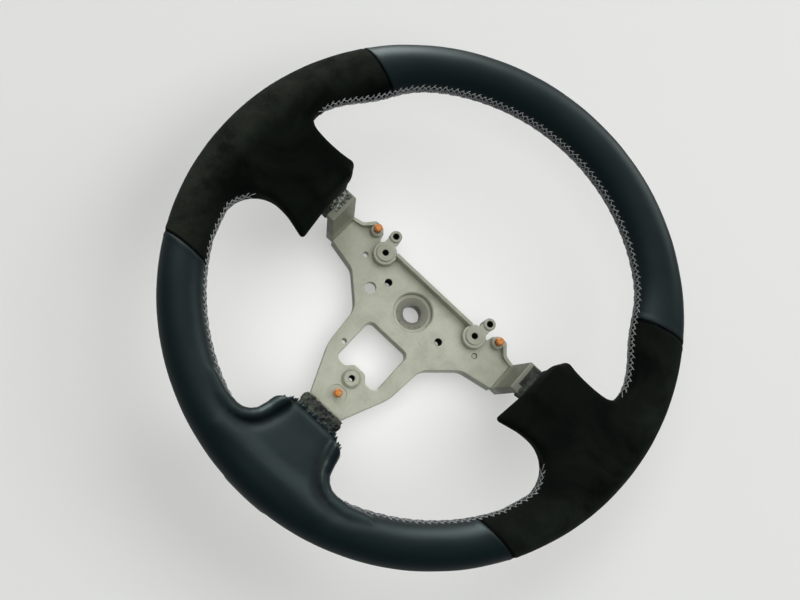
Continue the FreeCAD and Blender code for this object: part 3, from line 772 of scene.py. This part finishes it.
def seam_distance(p):
    """Distance of skin points from the lacing's centre line and from its holes."""
    along = np.full(len(p), FAR)
    holes = np.full(len(p), FAR)
    line, dots = [], []
    for name, (points, run) in EDGES.items():
        line += list(at_run(points, run, np.arange(2.0, run[-1] - 2, 1.0)))
        dots += LACES[name][1]
    for points, run in SPOKE_SEAMS.values():
        line += list(at_run(points, run, np.arange(0.5, run[-1], 1.0)))
    for store, places, reach in ((along, line, 6.0), (holes, dots, 4.0)):
        tree = KDTree(len(places))
        for i, place in enumerate(places):
            tree.insert(tuple(place), i)
        tree.balance()
        close = np.flatnonzero(np.hypot(p[:, 0], p[:, 2]) < RIM_RADIUS - 4)
        for i in close:
            gap = tree.find(tuple(p[i]))[2]
            if gap < reach:
                store[i] = gap
    return along, holes


def undulation(p, scale, seed):
    """Gentle seeded unevenness, from a sum of sines."""
    rng = np.random.default_rng(seed)
    total = np.zeros(len(p))
    for _ in range(7):
        direction = rng.normal(size=3)
        direction /= np.linalg.norm(direction)
        period = scale * rng.uniform(0.6, 1.6)
        total += np.sin(p @ direction * math.tau / period + rng.uniform(0, 6.28))
    return total / 7


def in_arm_opening(p):
    """True where an arm passes through a pad's end."""
    x, w, z = np.abs(p[:, 0]), p[:, 1], p[:, 2]
    low, high = SIDE_ARM_Z
    ease, wide_ease = 1.0, 1.6
    side_end, bottom_end = 104.0, 126.0
    deep = (w > ARM_FRONT - wide_ease) & (w < ARM_FRONT + ARM_WALL + ease)
    side = deep & (x < side_end) & (z > low - ease) & (z < high + ease)
    bottom = deep & (z > -bottom_end) & (z < LOW_PAD_TOP) & (x < TONGUE_HALF + wide_ease)
    return side | bottom


def cover_panels():
    """Four panels, each its own closed piece with turned-in edges."""
    bm = cover_mesh()
    p = np.array([v.co for v in bm.verts])
    along, holes = seam_distance(p)
    normal = normals_of(skin, p)
    drawn = groove(p, along, holes)
    wave = undulation(p, 34.0, 5) * 0.16 + undulation(p, 11.0, 6) * 0.05
    moved = p + normal * (wave - drawn)[:, None]
    for v, place in zip(bm.verts, moved):
        v.co = place
    panels = {"top_leather": [], "bottom_leather": [], "right_suede": [], "left_suede": []}
    bm.faces.ensure_lookup_table()
    centres = np.array([f.calc_center_median() for f in bm.faces])
    above = joint_gap(centres[:, 0], centres[:, 2], TOP_JOINT) > 0
    below = joint_gap(centres[:, 0], centres[:, 2], LOW_JOINT) < 0
    opened = in_arm_opening(centres)
    bm.verts.index_update()
    for index, face in enumerate(bm.faces):
        if opened[index]:
            continue
        if above[index]:
            name = "top_leather"
        elif below[index]:
            name = "bottom_leather"
        else:
            name = "right_suede" if centres[index, 0] > 0 else "left_suede"
        panels[name].append([v.index for v in face.verts])
    result = {}
    for name, faces in panels.items():
        used = sorted({i for f in faces for i in f})
        renumber = {old: new for new, old in enumerate(used)}
        faces = [[renumber[i] for i in f] for f in faces]
        made = new_object(name + "_cover", to_frame(moved[used]), faces)
        result[name] = thickened(made, COVER, -1)
    bm.free()
    return result


# ---- foam ----

def foam_field(p):
    """The foam under the covers."""
    return skin(p) + COVER + FOAM_GAP


def scrap_object(name, blocks, seed, tear):
    """Ragged torn foam filling a few boxes, given by their corners."""
    blocks = [(np.array(low, float), np.array(high, float)) for low, high in blocks]

    def field(p):
        nearest = None
        for low, high in blocks:
            away = np.abs(p - (low + high) / 2) - (high - low) / 2
            outside = np.sqrt((np.maximum(away, 0) ** 2).sum(1)) + np.minimum(away.max(1), 0)
            nearest = outside if nearest is None else np.minimum(nearest, outside)
        rough = undulation(p, 5.0, seed) * 1.1 + undulation(p, 2.0, seed + 1) * 0.6
        return nearest + 0.3 + tear * rough

    low = np.min([b[0] for b in blocks], 0) - 2.5
    high = np.max([b[1] for b in blocks], 0) + 2.5
    verts, quads = surface_net(field, low, high, SCRAP_CELL)
    return new_object(name, to_frame(verts), quads, smooth=False)


def ragged_edge(name, line, reach, seed):
    """A torn strip of cover along a line, standing out by up to reach."""
    line = np.array(line, float)
    run = lengths_along(line)
    spacing, wander = 0.45, 0.05
    places = np.arange(0, run[-1], spacing)
    root = at_run(line, run, places)
    rng = np.random.default_rng(seed)
    torn = np.zeros(len(places))
    waves = ((9.0, 0.30), (4.1, 0.26), (1.9, 0.20), (1.0, 0.12))
    for period, size in waves:
        torn += size * (0.5 + 0.5 * np.sin(places * math.tau / period + rng.uniform(0, math.tau)))
    torn = np.clip(torn + rng.normal(0, wander, len(places)), 0.03, 1) * reach
    rows = []
    for step in np.linspace(0, 1, 6):
        curl = 0.9 * math.sin(step * 2.4) + 0.35 * step * np.sin(places * 1.3 + seed)
        shifted = root.copy()
        shifted[:, 2] += torn * step
        shifted[:, 1] -= curl
        rows.append(shifted)
    faces = grid_faces(len(rows), len(places))
    made = new_object(name, to_frame(np.concatenate(rows)), faces)
    return thickened(made, TORN_THICKNESS, 0)


# ---- materials ----

class Nodes:
    """A short way to write the nodes of a material, or of the world."""

    def __init__(self, name, world=None):
        self.material = world or bpy.data.materials.new(name)
        self.material.use_nodes = True
        self.tree = self.material.node_tree
        self.shader = self.tree.nodes["Background" if world else "Principled BSDF"]

    def put(self, socket, value):
        """Links a socket to another one, or sets its own value."""
        if isinstance(value, bpy.types.NodeSocket):
            self.tree.links.new(value, socket)
        elif socket.type == "RGBA":
            socket.default_value = (*value[:3], 1)
        elif value is not None:
            socket.default_value = value

    def add(self, kind, **values):
        """A new node; each value is a setting of the node or goes to the input of that name."""
        node = self.tree.nodes.new(kind)
        for key, value in values.items():
            if hasattr(node, key):
                setattr(node, key, value)
            else:
                self.put(node.inputs[key], value)
        return node

    def place(self):
        return self.add("ShaderNodeTexCoord").outputs["Object"]

    def along(self, axis):
        """The place along one axis of the row frame, in metres."""
        return self.add("ShaderNodeSeparateXYZ", Vector=self.place()).outputs[axis]

    def vector_math(self, operation, vector, by=(0, 0, 0)):
        node = self.add("ShaderNodeVectorMath", operation=operation)
        self.put(node.inputs[0], vector)
        self.put(node.inputs[1], by)
        return node.outputs

    def axis_distance(self):
        """Distance from the column axis, in metres."""
        flat = self.vector_math("MULTIPLY", self.place(), (1, 0, 1))["Vector"]
        return self.vector_math("LENGTH", flat)["Value"]

    def noise(self, scale, detail=4.0, roughness=0.55, distortion=0.0):
        return self.add("ShaderNodeTexNoise", Vector=self.place(), Scale=scale, Detail=detail,
                        Roughness=roughness, Distortion=distortion).outputs["Fac"]

    def voronoi(self, scale):
        return self.add("ShaderNodeTexVoronoi", Vector=self.place(), Scale=scale).outputs["Distance"]

    def ramp(self, value, stops, smooth=False):
        """A value turned into a grey or a colour by a list of (position, grey or colour)."""
        node = self.add("ShaderNodeValToRGB", Fac=value)
        node.color_ramp.interpolation = "EASE" if smooth else "LINEAR"
        elements = node.color_ramp.elements
        while len(elements) < len(stops):
            elements.new(0.5)
        for element, (position, colour) in zip(elements, stops):
            element.position = position
            element.color = (*(colour if hasattr(colour, "__len__") else (colour,) * 3), 1)
        return node.outputs["Color"]

    def mix(self, amount, a, b, blend="MIX"):
        node = self.add("ShaderNodeMix", data_type="RGBA", blend_type=blend, Factor=amount)
        self.put(node.inputs[6], a)
        self.put(node.inputs[7], b)
        return node.outputs[2]

    def math(self, operation, *values):
        node = self.add("ShaderNodeMath", operation=operation)
        for socket, value in zip(node.inputs, values):
            self.put(socket, value)
        return node.outputs[0]

    def tinted(self, colour, *tints):
        """A colour with tints laid over it, each an amount and its colour."""
        for amount, tint in tints:
            colour = self.mix(amount, colour, tint)
        return colour

    def bumps(self, *layers):
        """The normal after layers of bump, each a height, its strength and its distance in metres."""
        normal = None
        for height, strength, distance in layers:
            normal = self.add("ShaderNodeBump", Height=height, Strength=strength, Distance=distance,
                              Normal=normal).outputs["Normal"]
        return normal

    def choose(self, amount, first, second, output):
        """Mixes two shaders into the output node."""
        node = self.add("ShaderNodeMixShader")
        for socket, value in zip(node.inputs, (amount, first, second)):
            self.put(socket, value)
        self.put(self.tree.nodes[output].inputs["Surface"], node.outputs[0])

    def finish(self, colour, roughness, normal, **fixed):
        """Joins up the shader; in the names of fixed inputs, _ stands for a space."""
        values = {"Base Color": colour, "Roughness": roughness, "Normal": normal, **fixed}
        for name, value in values.items():
            self.put(self.shader.inputs[name.replace("_", " ")], value)
        return self.material


def leather_material():
    """Smooth blue-black leather with a fine grain, rough and darker in its grooves: painted shade in the
    bead's crease, dark joints where panels meet.
    """
    n = Nodes("smooth_leather")
    wide = n.noise(26.0, 3.0)
    grain = n.ramp(n.voronoi(1250.0), [(0.0, 0.0), (0.5, 0.75), (1.0, 1.0)])
    # the groove mark darkens the colour: painted shade in the bead's crease, the dark joint line at the
    # joints
    groove = n.add("ShaderNodeAttribute", attribute_name="groove").outputs["Fac"]
    colour = n.tinted(n.mix(wide, (0.0015, 0.0058, 0.0072), (0.0030, 0.0088, 0.0100)),
                      (n.math("MULTIPLY", grain, 0.22), (0.004, 0.005, 0.006)),
                      (groove, (0.0008, 0.0014, 0.0018)))
    roughness = n.mix(groove, n.ramp(wide, [(0.3, 0.43), (0.7, 0.50)]), (0.92, 0.92, 0.92))
    normal = n.bumps((grain, 0.10, 0.00018), (n.noise(2600.0, 2.0), 0.05, 0.0001))
    return n.finish(colour, roughness, normal, Specular_IOR_Level=0.40,
                    Specular_Tint=(0.80, 1.0, 0.98))


def edge_material():
    """The dull dark edge of a panel, turned under at a joint."""
    n = Nodes("turned_edge")
    fibre = n.noise(1500.0, 3.0)
    colour = n.mix(fibre, (0.0006, 0.0010, 0.0012), (0.0030, 0.0040, 0.0042))
    return n.finish(colour, 0.95, n.bumps((fibre, 0.3, 0.0002)), Specular_IOR_Level=0.04)


def suede_material():
    """Very dark suede: a short nap brushed in soft patches, lighter towards the rim's outside, with a
    painted sheen on the rim's left side where the light grazes it.
    """
    n = Nodes("suede")
    nap = n.noise(900.0, 3.0, 0.7)
    brushed = n.ramp(n.noise(24.0, 5.0, 0.62, distortion=0.6), [(0.38, 0.0), (0.62, 1.0)])
    reach = n.math("DIVIDE", n.axis_distance(), (RIM_RADIUS + GRIP_RADIUS) * MM)
    # lighter towards the rim's outside
    lighter_outward = n.ramp(reach, [(0.72, 0.28), (0.96, 1.0)])
    # painted sheen: lighter suede on the left of the rim's outside, where the light grazes the nap
    lit_left_side = n.ramp(n.math("MULTIPLY", n.along("X"), -3.0), [(0.25, 0.0), (0.50, 1.0)])
    painted_sheen = n.math("MULTIPLY", lit_left_side, n.ramp(reach, [(0.84, 0.0), (0.97, 0.85)]))
    patches = n.ramp(n.noise(52.0, 6.0, 0.72), [(0.38, 0.10), (0.62, 1.0)])
    colour = n.tinted(n.mix(n.math("MULTIPLY", brushed, lighter_outward), (0.0006, 0.0017, 0.0010),
                            (0.0112, 0.0150, 0.0110)),
                      (n.math("MULTIPLY", painted_sheen, patches), (0.036, 0.042, 0.030)),
                      (n.math("MULTIPLY", nap, 0.45), (0.0030, 0.0046, 0.0033)))
    normal = n.bumps((nap, 0.35, 0.0005), (n.noise(3600.0, 2.0, 0.6), 0.25, 0.0002))
    return n.finish(colour, 0.95, normal, Specular_IOR_Level=0.05, Sheen_Weight=0.05,
                    Sheen_Roughness=0.45, Sheen_Tint=(0.80, 0.90, 0.80))


def alloy_material():
    """Die-cast light alloy: matte, mottled by the mould, with fine pits and stains, painted shade down
    the risers towards the pads, and darker towards its left end.
    """
    n = Nodes("cast_alloy")
    flow = n.noise(70.0, 5.0, 0.65, distortion=0.5)
    speck = n.noise(1300.0, 2.0, 0.7)
    sand = n.noise(420.0, 4.0, 0.65)
    # painted shade: the casting darkens the further forward it lies, down the risers and arms towards the
    # pads
    painted_shade_depth = n.math("DIVIDE", n.along("Y"), (RIM_Y + ARM_FRONT) * MM)
    # darker towards the left end
    left_end = n.ramp(n.math("MULTIPLY", n.along("X"), -10.0), [(0.20, 0.0), (0.62, 0.30)])
    colour = n.tinted(
        n.mix(n.noise(38.0, 4.0, 0.6), (0.385, 0.400, 0.310), (0.525, 0.540, 0.445)),
        (n.ramp(flow, [(0.34, 0.30), (0.52, 0.0)]), (0.265, 0.262, 0.200)),
        (n.ramp(flow, [(0.54, 0.0), (0.72, 0.30)]), (0.58, 0.59, 0.52)),
        (n.ramp(painted_shade_depth, [(0.20, 0.0), (0.42, 0.62), (1.0, 0.72)]), (0.150, 0.152, 0.115)),
        (left_end, (0.235, 0.235, 0.180)),
        (n.ramp(speck, [(0.31, 0.55), (0.37, 0.0)]), (0.13, 0.13, 0.10)))
    roughness = n.ramp(sand, [(0.3, 0.46), (0.7, 0.64)])
    normal = n.bumps((flow, 0.16, 0.0010), (sand, 0.14, 0.0004), (speck, 0.12, 0.0001))
    return n.finish(colour, roughness, normal, Metallic=0.15, Specular_IOR_Level=0.4)


def steel_material(name, colour_a, colour_b, rough, metal, bore=0.0):
    """Turned steel with faint stains, and painted shade inside a bore of the given radius in mm."""
    n = Nodes(name)
    fine = n.noise(1800.0, 2.0)
    colour = n.mix(n.noise(90.0, 4.0), colour_a, colour_b)
    if bore > 0.0:
        # painted shade: near black inside the bore
        painted_hole_shade = n.ramp(n.axis_distance(), [(bore * MM, 1.0), ((bore + 0.5) * MM, 0.0)])
        colour = n.mix(painted_hole_shade, colour, (0.012, 0.012, 0.010))
    roughness = n.ramp(fine, [(0.3, rough), (0.7, rough + 0.14)])
    return n.finish(colour, roughness, n.bumps((fine, 0.08, 0.0001)), Metallic=metal)


def pin_material():
    """Copper-coloured contact pin, dulled in patches, with painted shade round its sides."""
    n = Nodes("pin_copper")
    stain = n.noise(420.0, 3.0)
    facing = n.add("ShaderNodeSeparateXYZ", Vector=n.add("ShaderNodeNewGeometry").outputs["Normal"])
    # painted shade: the sides, facing away from the front, are darker than the tip
    facing_for_painted_shade = n.math("MULTIPLY", facing.outputs["Y"], -1.0)
    colour = n.tinted(n.mix(stain, (0.86, 0.33, 0.075), (0.55, 0.17, 0.035)),
                      (n.ramp(n.noise(900.0, 3.0), [(0.55, 0.0), (0.68, 0.8)]), (0.95, 0.66, 0.34)),
                      (n.ramp(facing_for_painted_shade, [(0.15, 0.75), (0.85, 0.0)]), (0.30, 0.075, 0.012)))
    roughness = n.ramp(stain, [(0.3, 0.34), (0.7, 0.52)])
    return n.finish(colour, roughness, n.bumps((n.noise(2600.0, 2.0), 0.08, 0.0001)), Metallic=0.35)


def foam_material(name, grey):
    """Torn foam with crumbs and glue; grey says how much of it is dusty."""
    n = Nodes(name)
    crumbs = n.noise(430.0, 5.0, 0.75)
    dusty = 0.66 - 0.22 * grey
    colour = n.ramp(crumbs, [(dusty - 0.16, (0.004, 0.007, 0.006)), (dusty - 0.05, (0.016, 0.021, 0.018)),
                             (dusty + 0.02, (0.13, 0.145, 0.115)), (dusty + 0.10, (0.50, 0.53, 0.47))])
    patch = n.ramp(n.noise(82.0, 4.0, 0.6), [(0.44, 0.0), (0.66, 0.60 - 0.3 * grey)])
    colour = n.mix(patch, colour, (0.105, 0.125, 0.085))
    return n.finish(colour, 0.7, n.bumps((crumbs, 0.9, 0.0010), (n.voronoi(900.0), 0.5, 0.0006)))


def thread_material(name, dark, light, sheen, level):
    """Twisted polyester thread."""
    n = Nodes(name)
    twist = n.add("ShaderNodeTexWave", Vector=n.place(), Scale=900.0, Distortion=1.5, Detail=1.0)
    strand = twist.outputs["Fac"]
    colour = n.mix(n.math("MULTIPLY", strand, n.noise(2200.0, 2.0)), dark, light)
    return n.finish(colour, 0.72, n.bumps((strand, 0.5, 0.0002)), Sheen_Weight=sheen,
                    Sheen_Roughness=0.4, Specular_IOR_Level=level)


def hole_shade_material():
    """The sides of a tapped hole, near black: painted shade inside the hole."""
    n = Nodes("hole_shade_thread")
    stain = n.noise(700.0, 3.0)
    # painted shade: near black, mottled
    colour = n.mix(stain, (0.007, 0.007, 0.006), (0.030, 0.030, 0.025))
    return n.finish(colour, 0.5, n.bumps((stain, 0.3, 0.0002)), Metallic=0.4)


# ---- the scene ----

def paint(obj, material):
    obj.data.materials.clear()
    obj.data.materials.append(material)


def enrol(obj, node=None):
    """Gives a visible piece its body and hides the CAD node it stands for."""
    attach(obj, "root")
    if node:
        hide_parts(node)


def paint_cad():
    """Materials for the nodes that are shown as they are in the frame."""
    bush = steel_material("bush_steel", (0.29, 0.29, 0.235), (0.19, 0.19, 0.155), 0.46, 0.30, 7.5)
    core = steel_material("core_steel", (0.30, 0.29, 0.28), (0.20, 0.19, 0.18), 0.45, 0.8)
    black = thread_material("black_thread", (0.0010, 0.0014, 0.0014), (0.0050, 0.0060, 0.0060), 0.0, 0.04)
    by_ending = {"_casting": alloy_material(), "_contact_pin": pin_material(), "_joint_thread": black,
                 "_bush": bush, "_ring": core}
    for node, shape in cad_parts.items():
        for ending, material in by_ending.items():
            if node.endswith(ending):
                paint(shape, material)


def build_covers(leather, suede):
    edge = edge_material()
    for name, cover in cover_panels().items():
        smooth = name.endswith("leather")
        paint(cover, leather if smooth else suede)
        mark_grooves(cover, edge)
        enrol(cover, name)


def build_stitches():
    grey = thread_material("grey_thread", (0.16, 0.17, 0.175), (0.78, 0.80, 0.80), 0.15, 0.5)
    runs = [(name, paths, THREAD_RADIUS) for name, (paths, holes) in LACES.items()]
    runs += [(name, spoke_seam_paths(name), SEAM_THREAD_RADIUS) for name in SPOKE_SEAMS]
    for name, paths, radius in runs:
        stitches = tubes_object(name + "_stitches", paths, radius)
        paint(stitches, grey)
        enrol(stitches, name)


def build_foam_body(foam):
    verts, quads = surface_net(foam_field, FIELD_LOW, FIELD_HIGH, FOAM_CELL)
    body = new_object("grip_foam_body", to_frame(onto(foam_field, verts)), quads)
    paint(body, foam)
    enrol(body, "grip_foam")


THREADED_HOLES = {       # place, radius, front and back, mm
    "left_boss_thread": ((-47.4, 17.6), 2.65, -13.2, 6.0),
    "right_boss_thread": ((47.4, 17.6), 2.65, -13.2, 6.0),
    "left_ear_thread": ((-50.2, 33.2), 2.70, -13.4, 0.0),
    "right_ear_thread": ((50.2, 33.2), 2.70, -13.4, 0.0),
    "left_puller_thread": ((-30.0, 3.9), 3.10, -5.4, 7.0),
    "right_puller_thread": ((30.0, -3.9), 3.10, -5.4, 7.0),
    "low_boss_thread": ((0.0, -71.7), 2.60, -8.6, 6.0),
    # a dark ring at the dimple's edge: painted shade
    "dimple_painted_shade_ring": ((58.2, 7.9), 2.30, -5.9, -5.1),
}


def thread_sleeve(name, place, radius, front, back):
    """The thread cut into a tapped hole, painted dark as shade: a ring with a ridged inside."""
    pitch = 0.9
    around = 40
    crest, root, wall = 0.42, 0.10, 0.02
    turns = int(round((back - front) / (pitch / 2)))
    profile = [(front + (back - front) * i / turns, radius - (root if i % 2 else crest))
               for i in range(turns + 1)]
    profile += [(back, radius - wall), (front, radius - wall)]
    verts = []
    for y, r in profile:
        for step in range(around):
            angle = math.tau * step / around
            verts.append((place[0] + r * math.cos(angle), y - RIM_Y, place[1] + r * math.sin(angle)))
    faces = grid_faces(len(profile), around, round_rows=True, round_columns=True)
    return new_object(name, to_frame(verts), faces, smooth=False)


def build_threads():
    """Cut threads in the tapped holes of the casting and a ring at a dimple's edge, all dark with painted
    shade.
    """
    painted_hole_shade = hole_shade_material()
    for name, hole in THREADED_HOLES.items():
        sleeve = thread_sleeve(name, *hole)
        paint(sleeve, painted_hole_shade)
        enrol(sleeve)


def build_torn_edge(leather):
    """The bottom pad's cover ends in a torn, curled edge round the stub."""
    (end_a, end_x, _), (corner_a, corner_x, _) = LOW_PAD_HALF[:2]
    short, inset, sunk = 3, 1.0, 3.6
    half = [(corner_x - short, corner_a), (end_x, end_a)]
    line = []
    for x, a in [(-x, a) for x, a in half] + [(0.0, end_a)] + half[::-1]:
        line.append((x, pad_front(a) + sunk, -(a + inset)))
    torn = ragged_edge("bottom_torn_edge", line, 6.4, 61)
    paint(torn, leather)
    enrol(torn)


def build_scraps(foam):
    """Foam left on the stubs of the arms, where the spokes leave the pads."""
    residue = foam_material("foam_residue", 0.70)
    low, high = SIDE_ARM_Z
    front = ARM_FRONT
    half = TONGUE_HALF
    dust = [((91.6, front - 0.9, low + 6.0), (104.0, front + 0.6, high - 0.6))]
    lump = [((95.0, front - 2.6, low - 1.2), (104.0, front + ARM_WALL + 0.6, low + 6.4)),
            ((99.0, front - 1.9, low + 5.0), (104.0, front + 1.0, high - 1.0))]
    stub = [((-half - 1.2, front - 2.2, -124.0), (half + 1.2, front + 1.0, -105.2)),
            ((-half + 1.0, front - 3.6, -124.0), (-2.0, front + 1.0, -112.0)),
            ((5.0, front - 3.4, -116.0), (half - 1.0, front + 1.0, -107.5)),
            ((-half - 1.6, front - 1.2, -124.0), (-half + 2.0, front + ARM_WALL, -107.0)),
            ((half - 2.0, front - 1.2, -124.0), (half + 1.6, front + ARM_WALL, -107.0))]
    pieces = [("left_foam_residue", dust, 11, 0.45, residue, True),
              ("left_foam_scrap", lump, 23, 0.7, foam, True),
              ("right_foam_residue", dust, 31, 0.45, foam, False),
              ("right_foam_scrap", lump, 43, 0.7, foam, False),
              ("low_foam_scrap", stub, 37, 1.25, foam, False)]
    for name, blocks, seed, tear, material, mirrored in pieces:
        scrap = scrap_object(name, blocks, seed, tear)
        if mirrored:
            scrap.data.transform(Matrix.Diagonal((-1, 1, 1, 1)))
            scrap.data.flip_normals()
        paint(scrap, material)
        enrol(scrap)


def build_world():
    """The room: pale where the camera looks past the table, dim as light on the wheel."""
    world = bpy.data.worlds.new("studio")
    bpy.context.scene.world = world
    n = Nodes("studio", world)
    n.put(n.shader.inputs["Color"], (0.765, 0.770, 0.758))
    direction = n.add("ShaderNodeTexCoord").outputs["Generated"]
    along = n.vector_math("DOT_PRODUCT", direction, (0, 1, 0))["Value"]
    turned = n.math("MULTIPLY_ADD", along, 0.5, 0.5)
    levels = [(0.0, 0.07), (0.30, 0.07), (0.50, 0.12), (0.62, 0.26), (1.0, 0.34)]
    stops = [(at, (level * 0.97, level, level * 1.02)) for at, level in levels]
    room = n.add("ShaderNodeBackground", Color=n.ramp(turned, stops))
    seen = n.add("ShaderNodeLightPath").outputs["Is Camera Ray"]
    n.choose(seen, room.outputs[0], n.shader.outputs[0], "World Output")


TABLE_COLOUR = (0.700, 0.705, 0.692)
TABLE_Y = 0.0135         # just behind the hub, in metres


def table_material():
    """A pale table top, dimmer and glowing more round the wheel's middle as painted light that lifts the
    wheel's shadow, with a weaker glow right under the hub as painted shade; it is clear from behind.
    """
    n = Nodes("table_top")
    pale = n.mix(n.noise(1.2, 2.0), TABLE_COLOUR, [v * 1.03 for v in TABLE_COLOUR])
    reach = n.vector_math("LENGTH", n.place())["Value"]
    # painted light: inside the ring the table is dimmer and glows more, lifting the wheel's shadow; the
    # glow is weaker right under the hub, painted shade there
    within = n.ramp(reach, [(0.165, 0.78), (0.235, 1.0)], True)
    painted_glow = n.ramp(reach, [(0.010, (0.28, 0.28, 0.275)), (0.080, (0.36, 0.36, 0.355)),
                          (0.165, (0.37, 0.37, 0.36)), (0.235, (0.07, 0.07, 0.068))], True)
    n.finish(n.mix(1.0, pale, within, blend="MULTIPLY"), 0.8, None,
             Specular_IOR_Level=0.0, Emission_Strength=1.0, Emission_Color=painted_glow)
    behind = n.add("ShaderNodeNewGeometry").outputs["Backfacing"]
    clear = n.add("ShaderNodeBsdfTransparent").outputs[0]
    n.choose(behind, n.shader.outputs[0], clear, "Material Output")
    return n.material


WHEEL_MIDDLE = (0, -0.05, 0)
SOFTBOXES = [            # name, place, aim, width in metres, watts, seen in gloss, lights diffuse
    ("overhead_softbox", (0.15, -3.0, 0.60), WHEEL_MIDDLE, 5.0, 150, False, True),
    ("key_softbox", (-2.22, -1.20, 1.68), WHEEL_MIDDLE, 2.3, 165, True, False),
    ("side_softbox", (1.50, -1.90, 1.90), WHEEL_MIDDLE, 1.6, 8, False, True),
    ("rim_softbox", (0.45, -0.80, 2.60), (0.10, 0.0, 0.10), 1.5, 20, True, False),
    ("back_softbox", (0.3, 1.4, 0.5), WHEEL_MIDDLE, 1.6, 10, True, True),
]


def build_lights():
    for name, place, aim, size, power, gloss, diffuse in SOFTBOXES:
        data = bpy.data.lights.new(name, "AREA")
        data.shape = "RECTANGLE"
        data.size = size
        data.size_y = size
        data.energy = power
        lamp = in_scene(name, data)
        lamp.location = place
        lamp.rotation_mode = "QUATERNION"
        lamp.rotation_quaternion = (Vector(aim) - Vector(place)).to_track_quat("-Z", "Y")
        lamp.visible_glossy = gloss
        lamp.visible_diffuse = diffuse


def build_camera():
    data = bpy.data.cameras.new("camera")
    data.sensor_width = 36.0
    data.lens = 36.0
    data.clip_start = 0.01
    data.clip_end = 20.0
    camera = in_scene("camera", data)
    right = Vector((0.7299, -0.1797, 0.6595))
    up = Vector((-0.6833, -0.2150, 0.6977))
    back = -Vector((-0.0164, 0.9600, 0.2797))
    turn = Matrix((right, up, back)).transposed()
    camera.matrix_world = Matrix.Translation((-0.00389, -0.60519, -0.17478)) @ turn.to_4x4()
    bpy.context.scene.camera = camera


def build_table():
    """The pale floor behind the wheel, which lights and darkens nothing."""
    half = 4.0
    corners = [(x * half, TABLE_Y, z * half) for x, z in ((-1, -1), (1, -1), (1, 1), (-1, 1))]
    table = new_object("table_top", corners, [(0, 1, 2, 3)], smooth=False)
    paint(table, table_material())
    for ray in ("diffuse", "glossy", "transmission", "volume_scatter", "shadow"):
        setattr(table, "visible_" + ray, False)


def build_all():
    leather = leather_material()
    foam = foam_material("foam", 0.0)
    paint_cad()
    build_covers(leather, suede_material())
    build_stitches()
    build_foam_body(foam)
    build_scraps(foam)
    build_torn_edge(leather)
    build_threads()
    build_camera()
    build_table()
    build_world()
    build_lights()


build_all()

SCENE_VIEW = bpy.context.scene.view_settings
SCENE_VIEW.view_transform = "Standard"
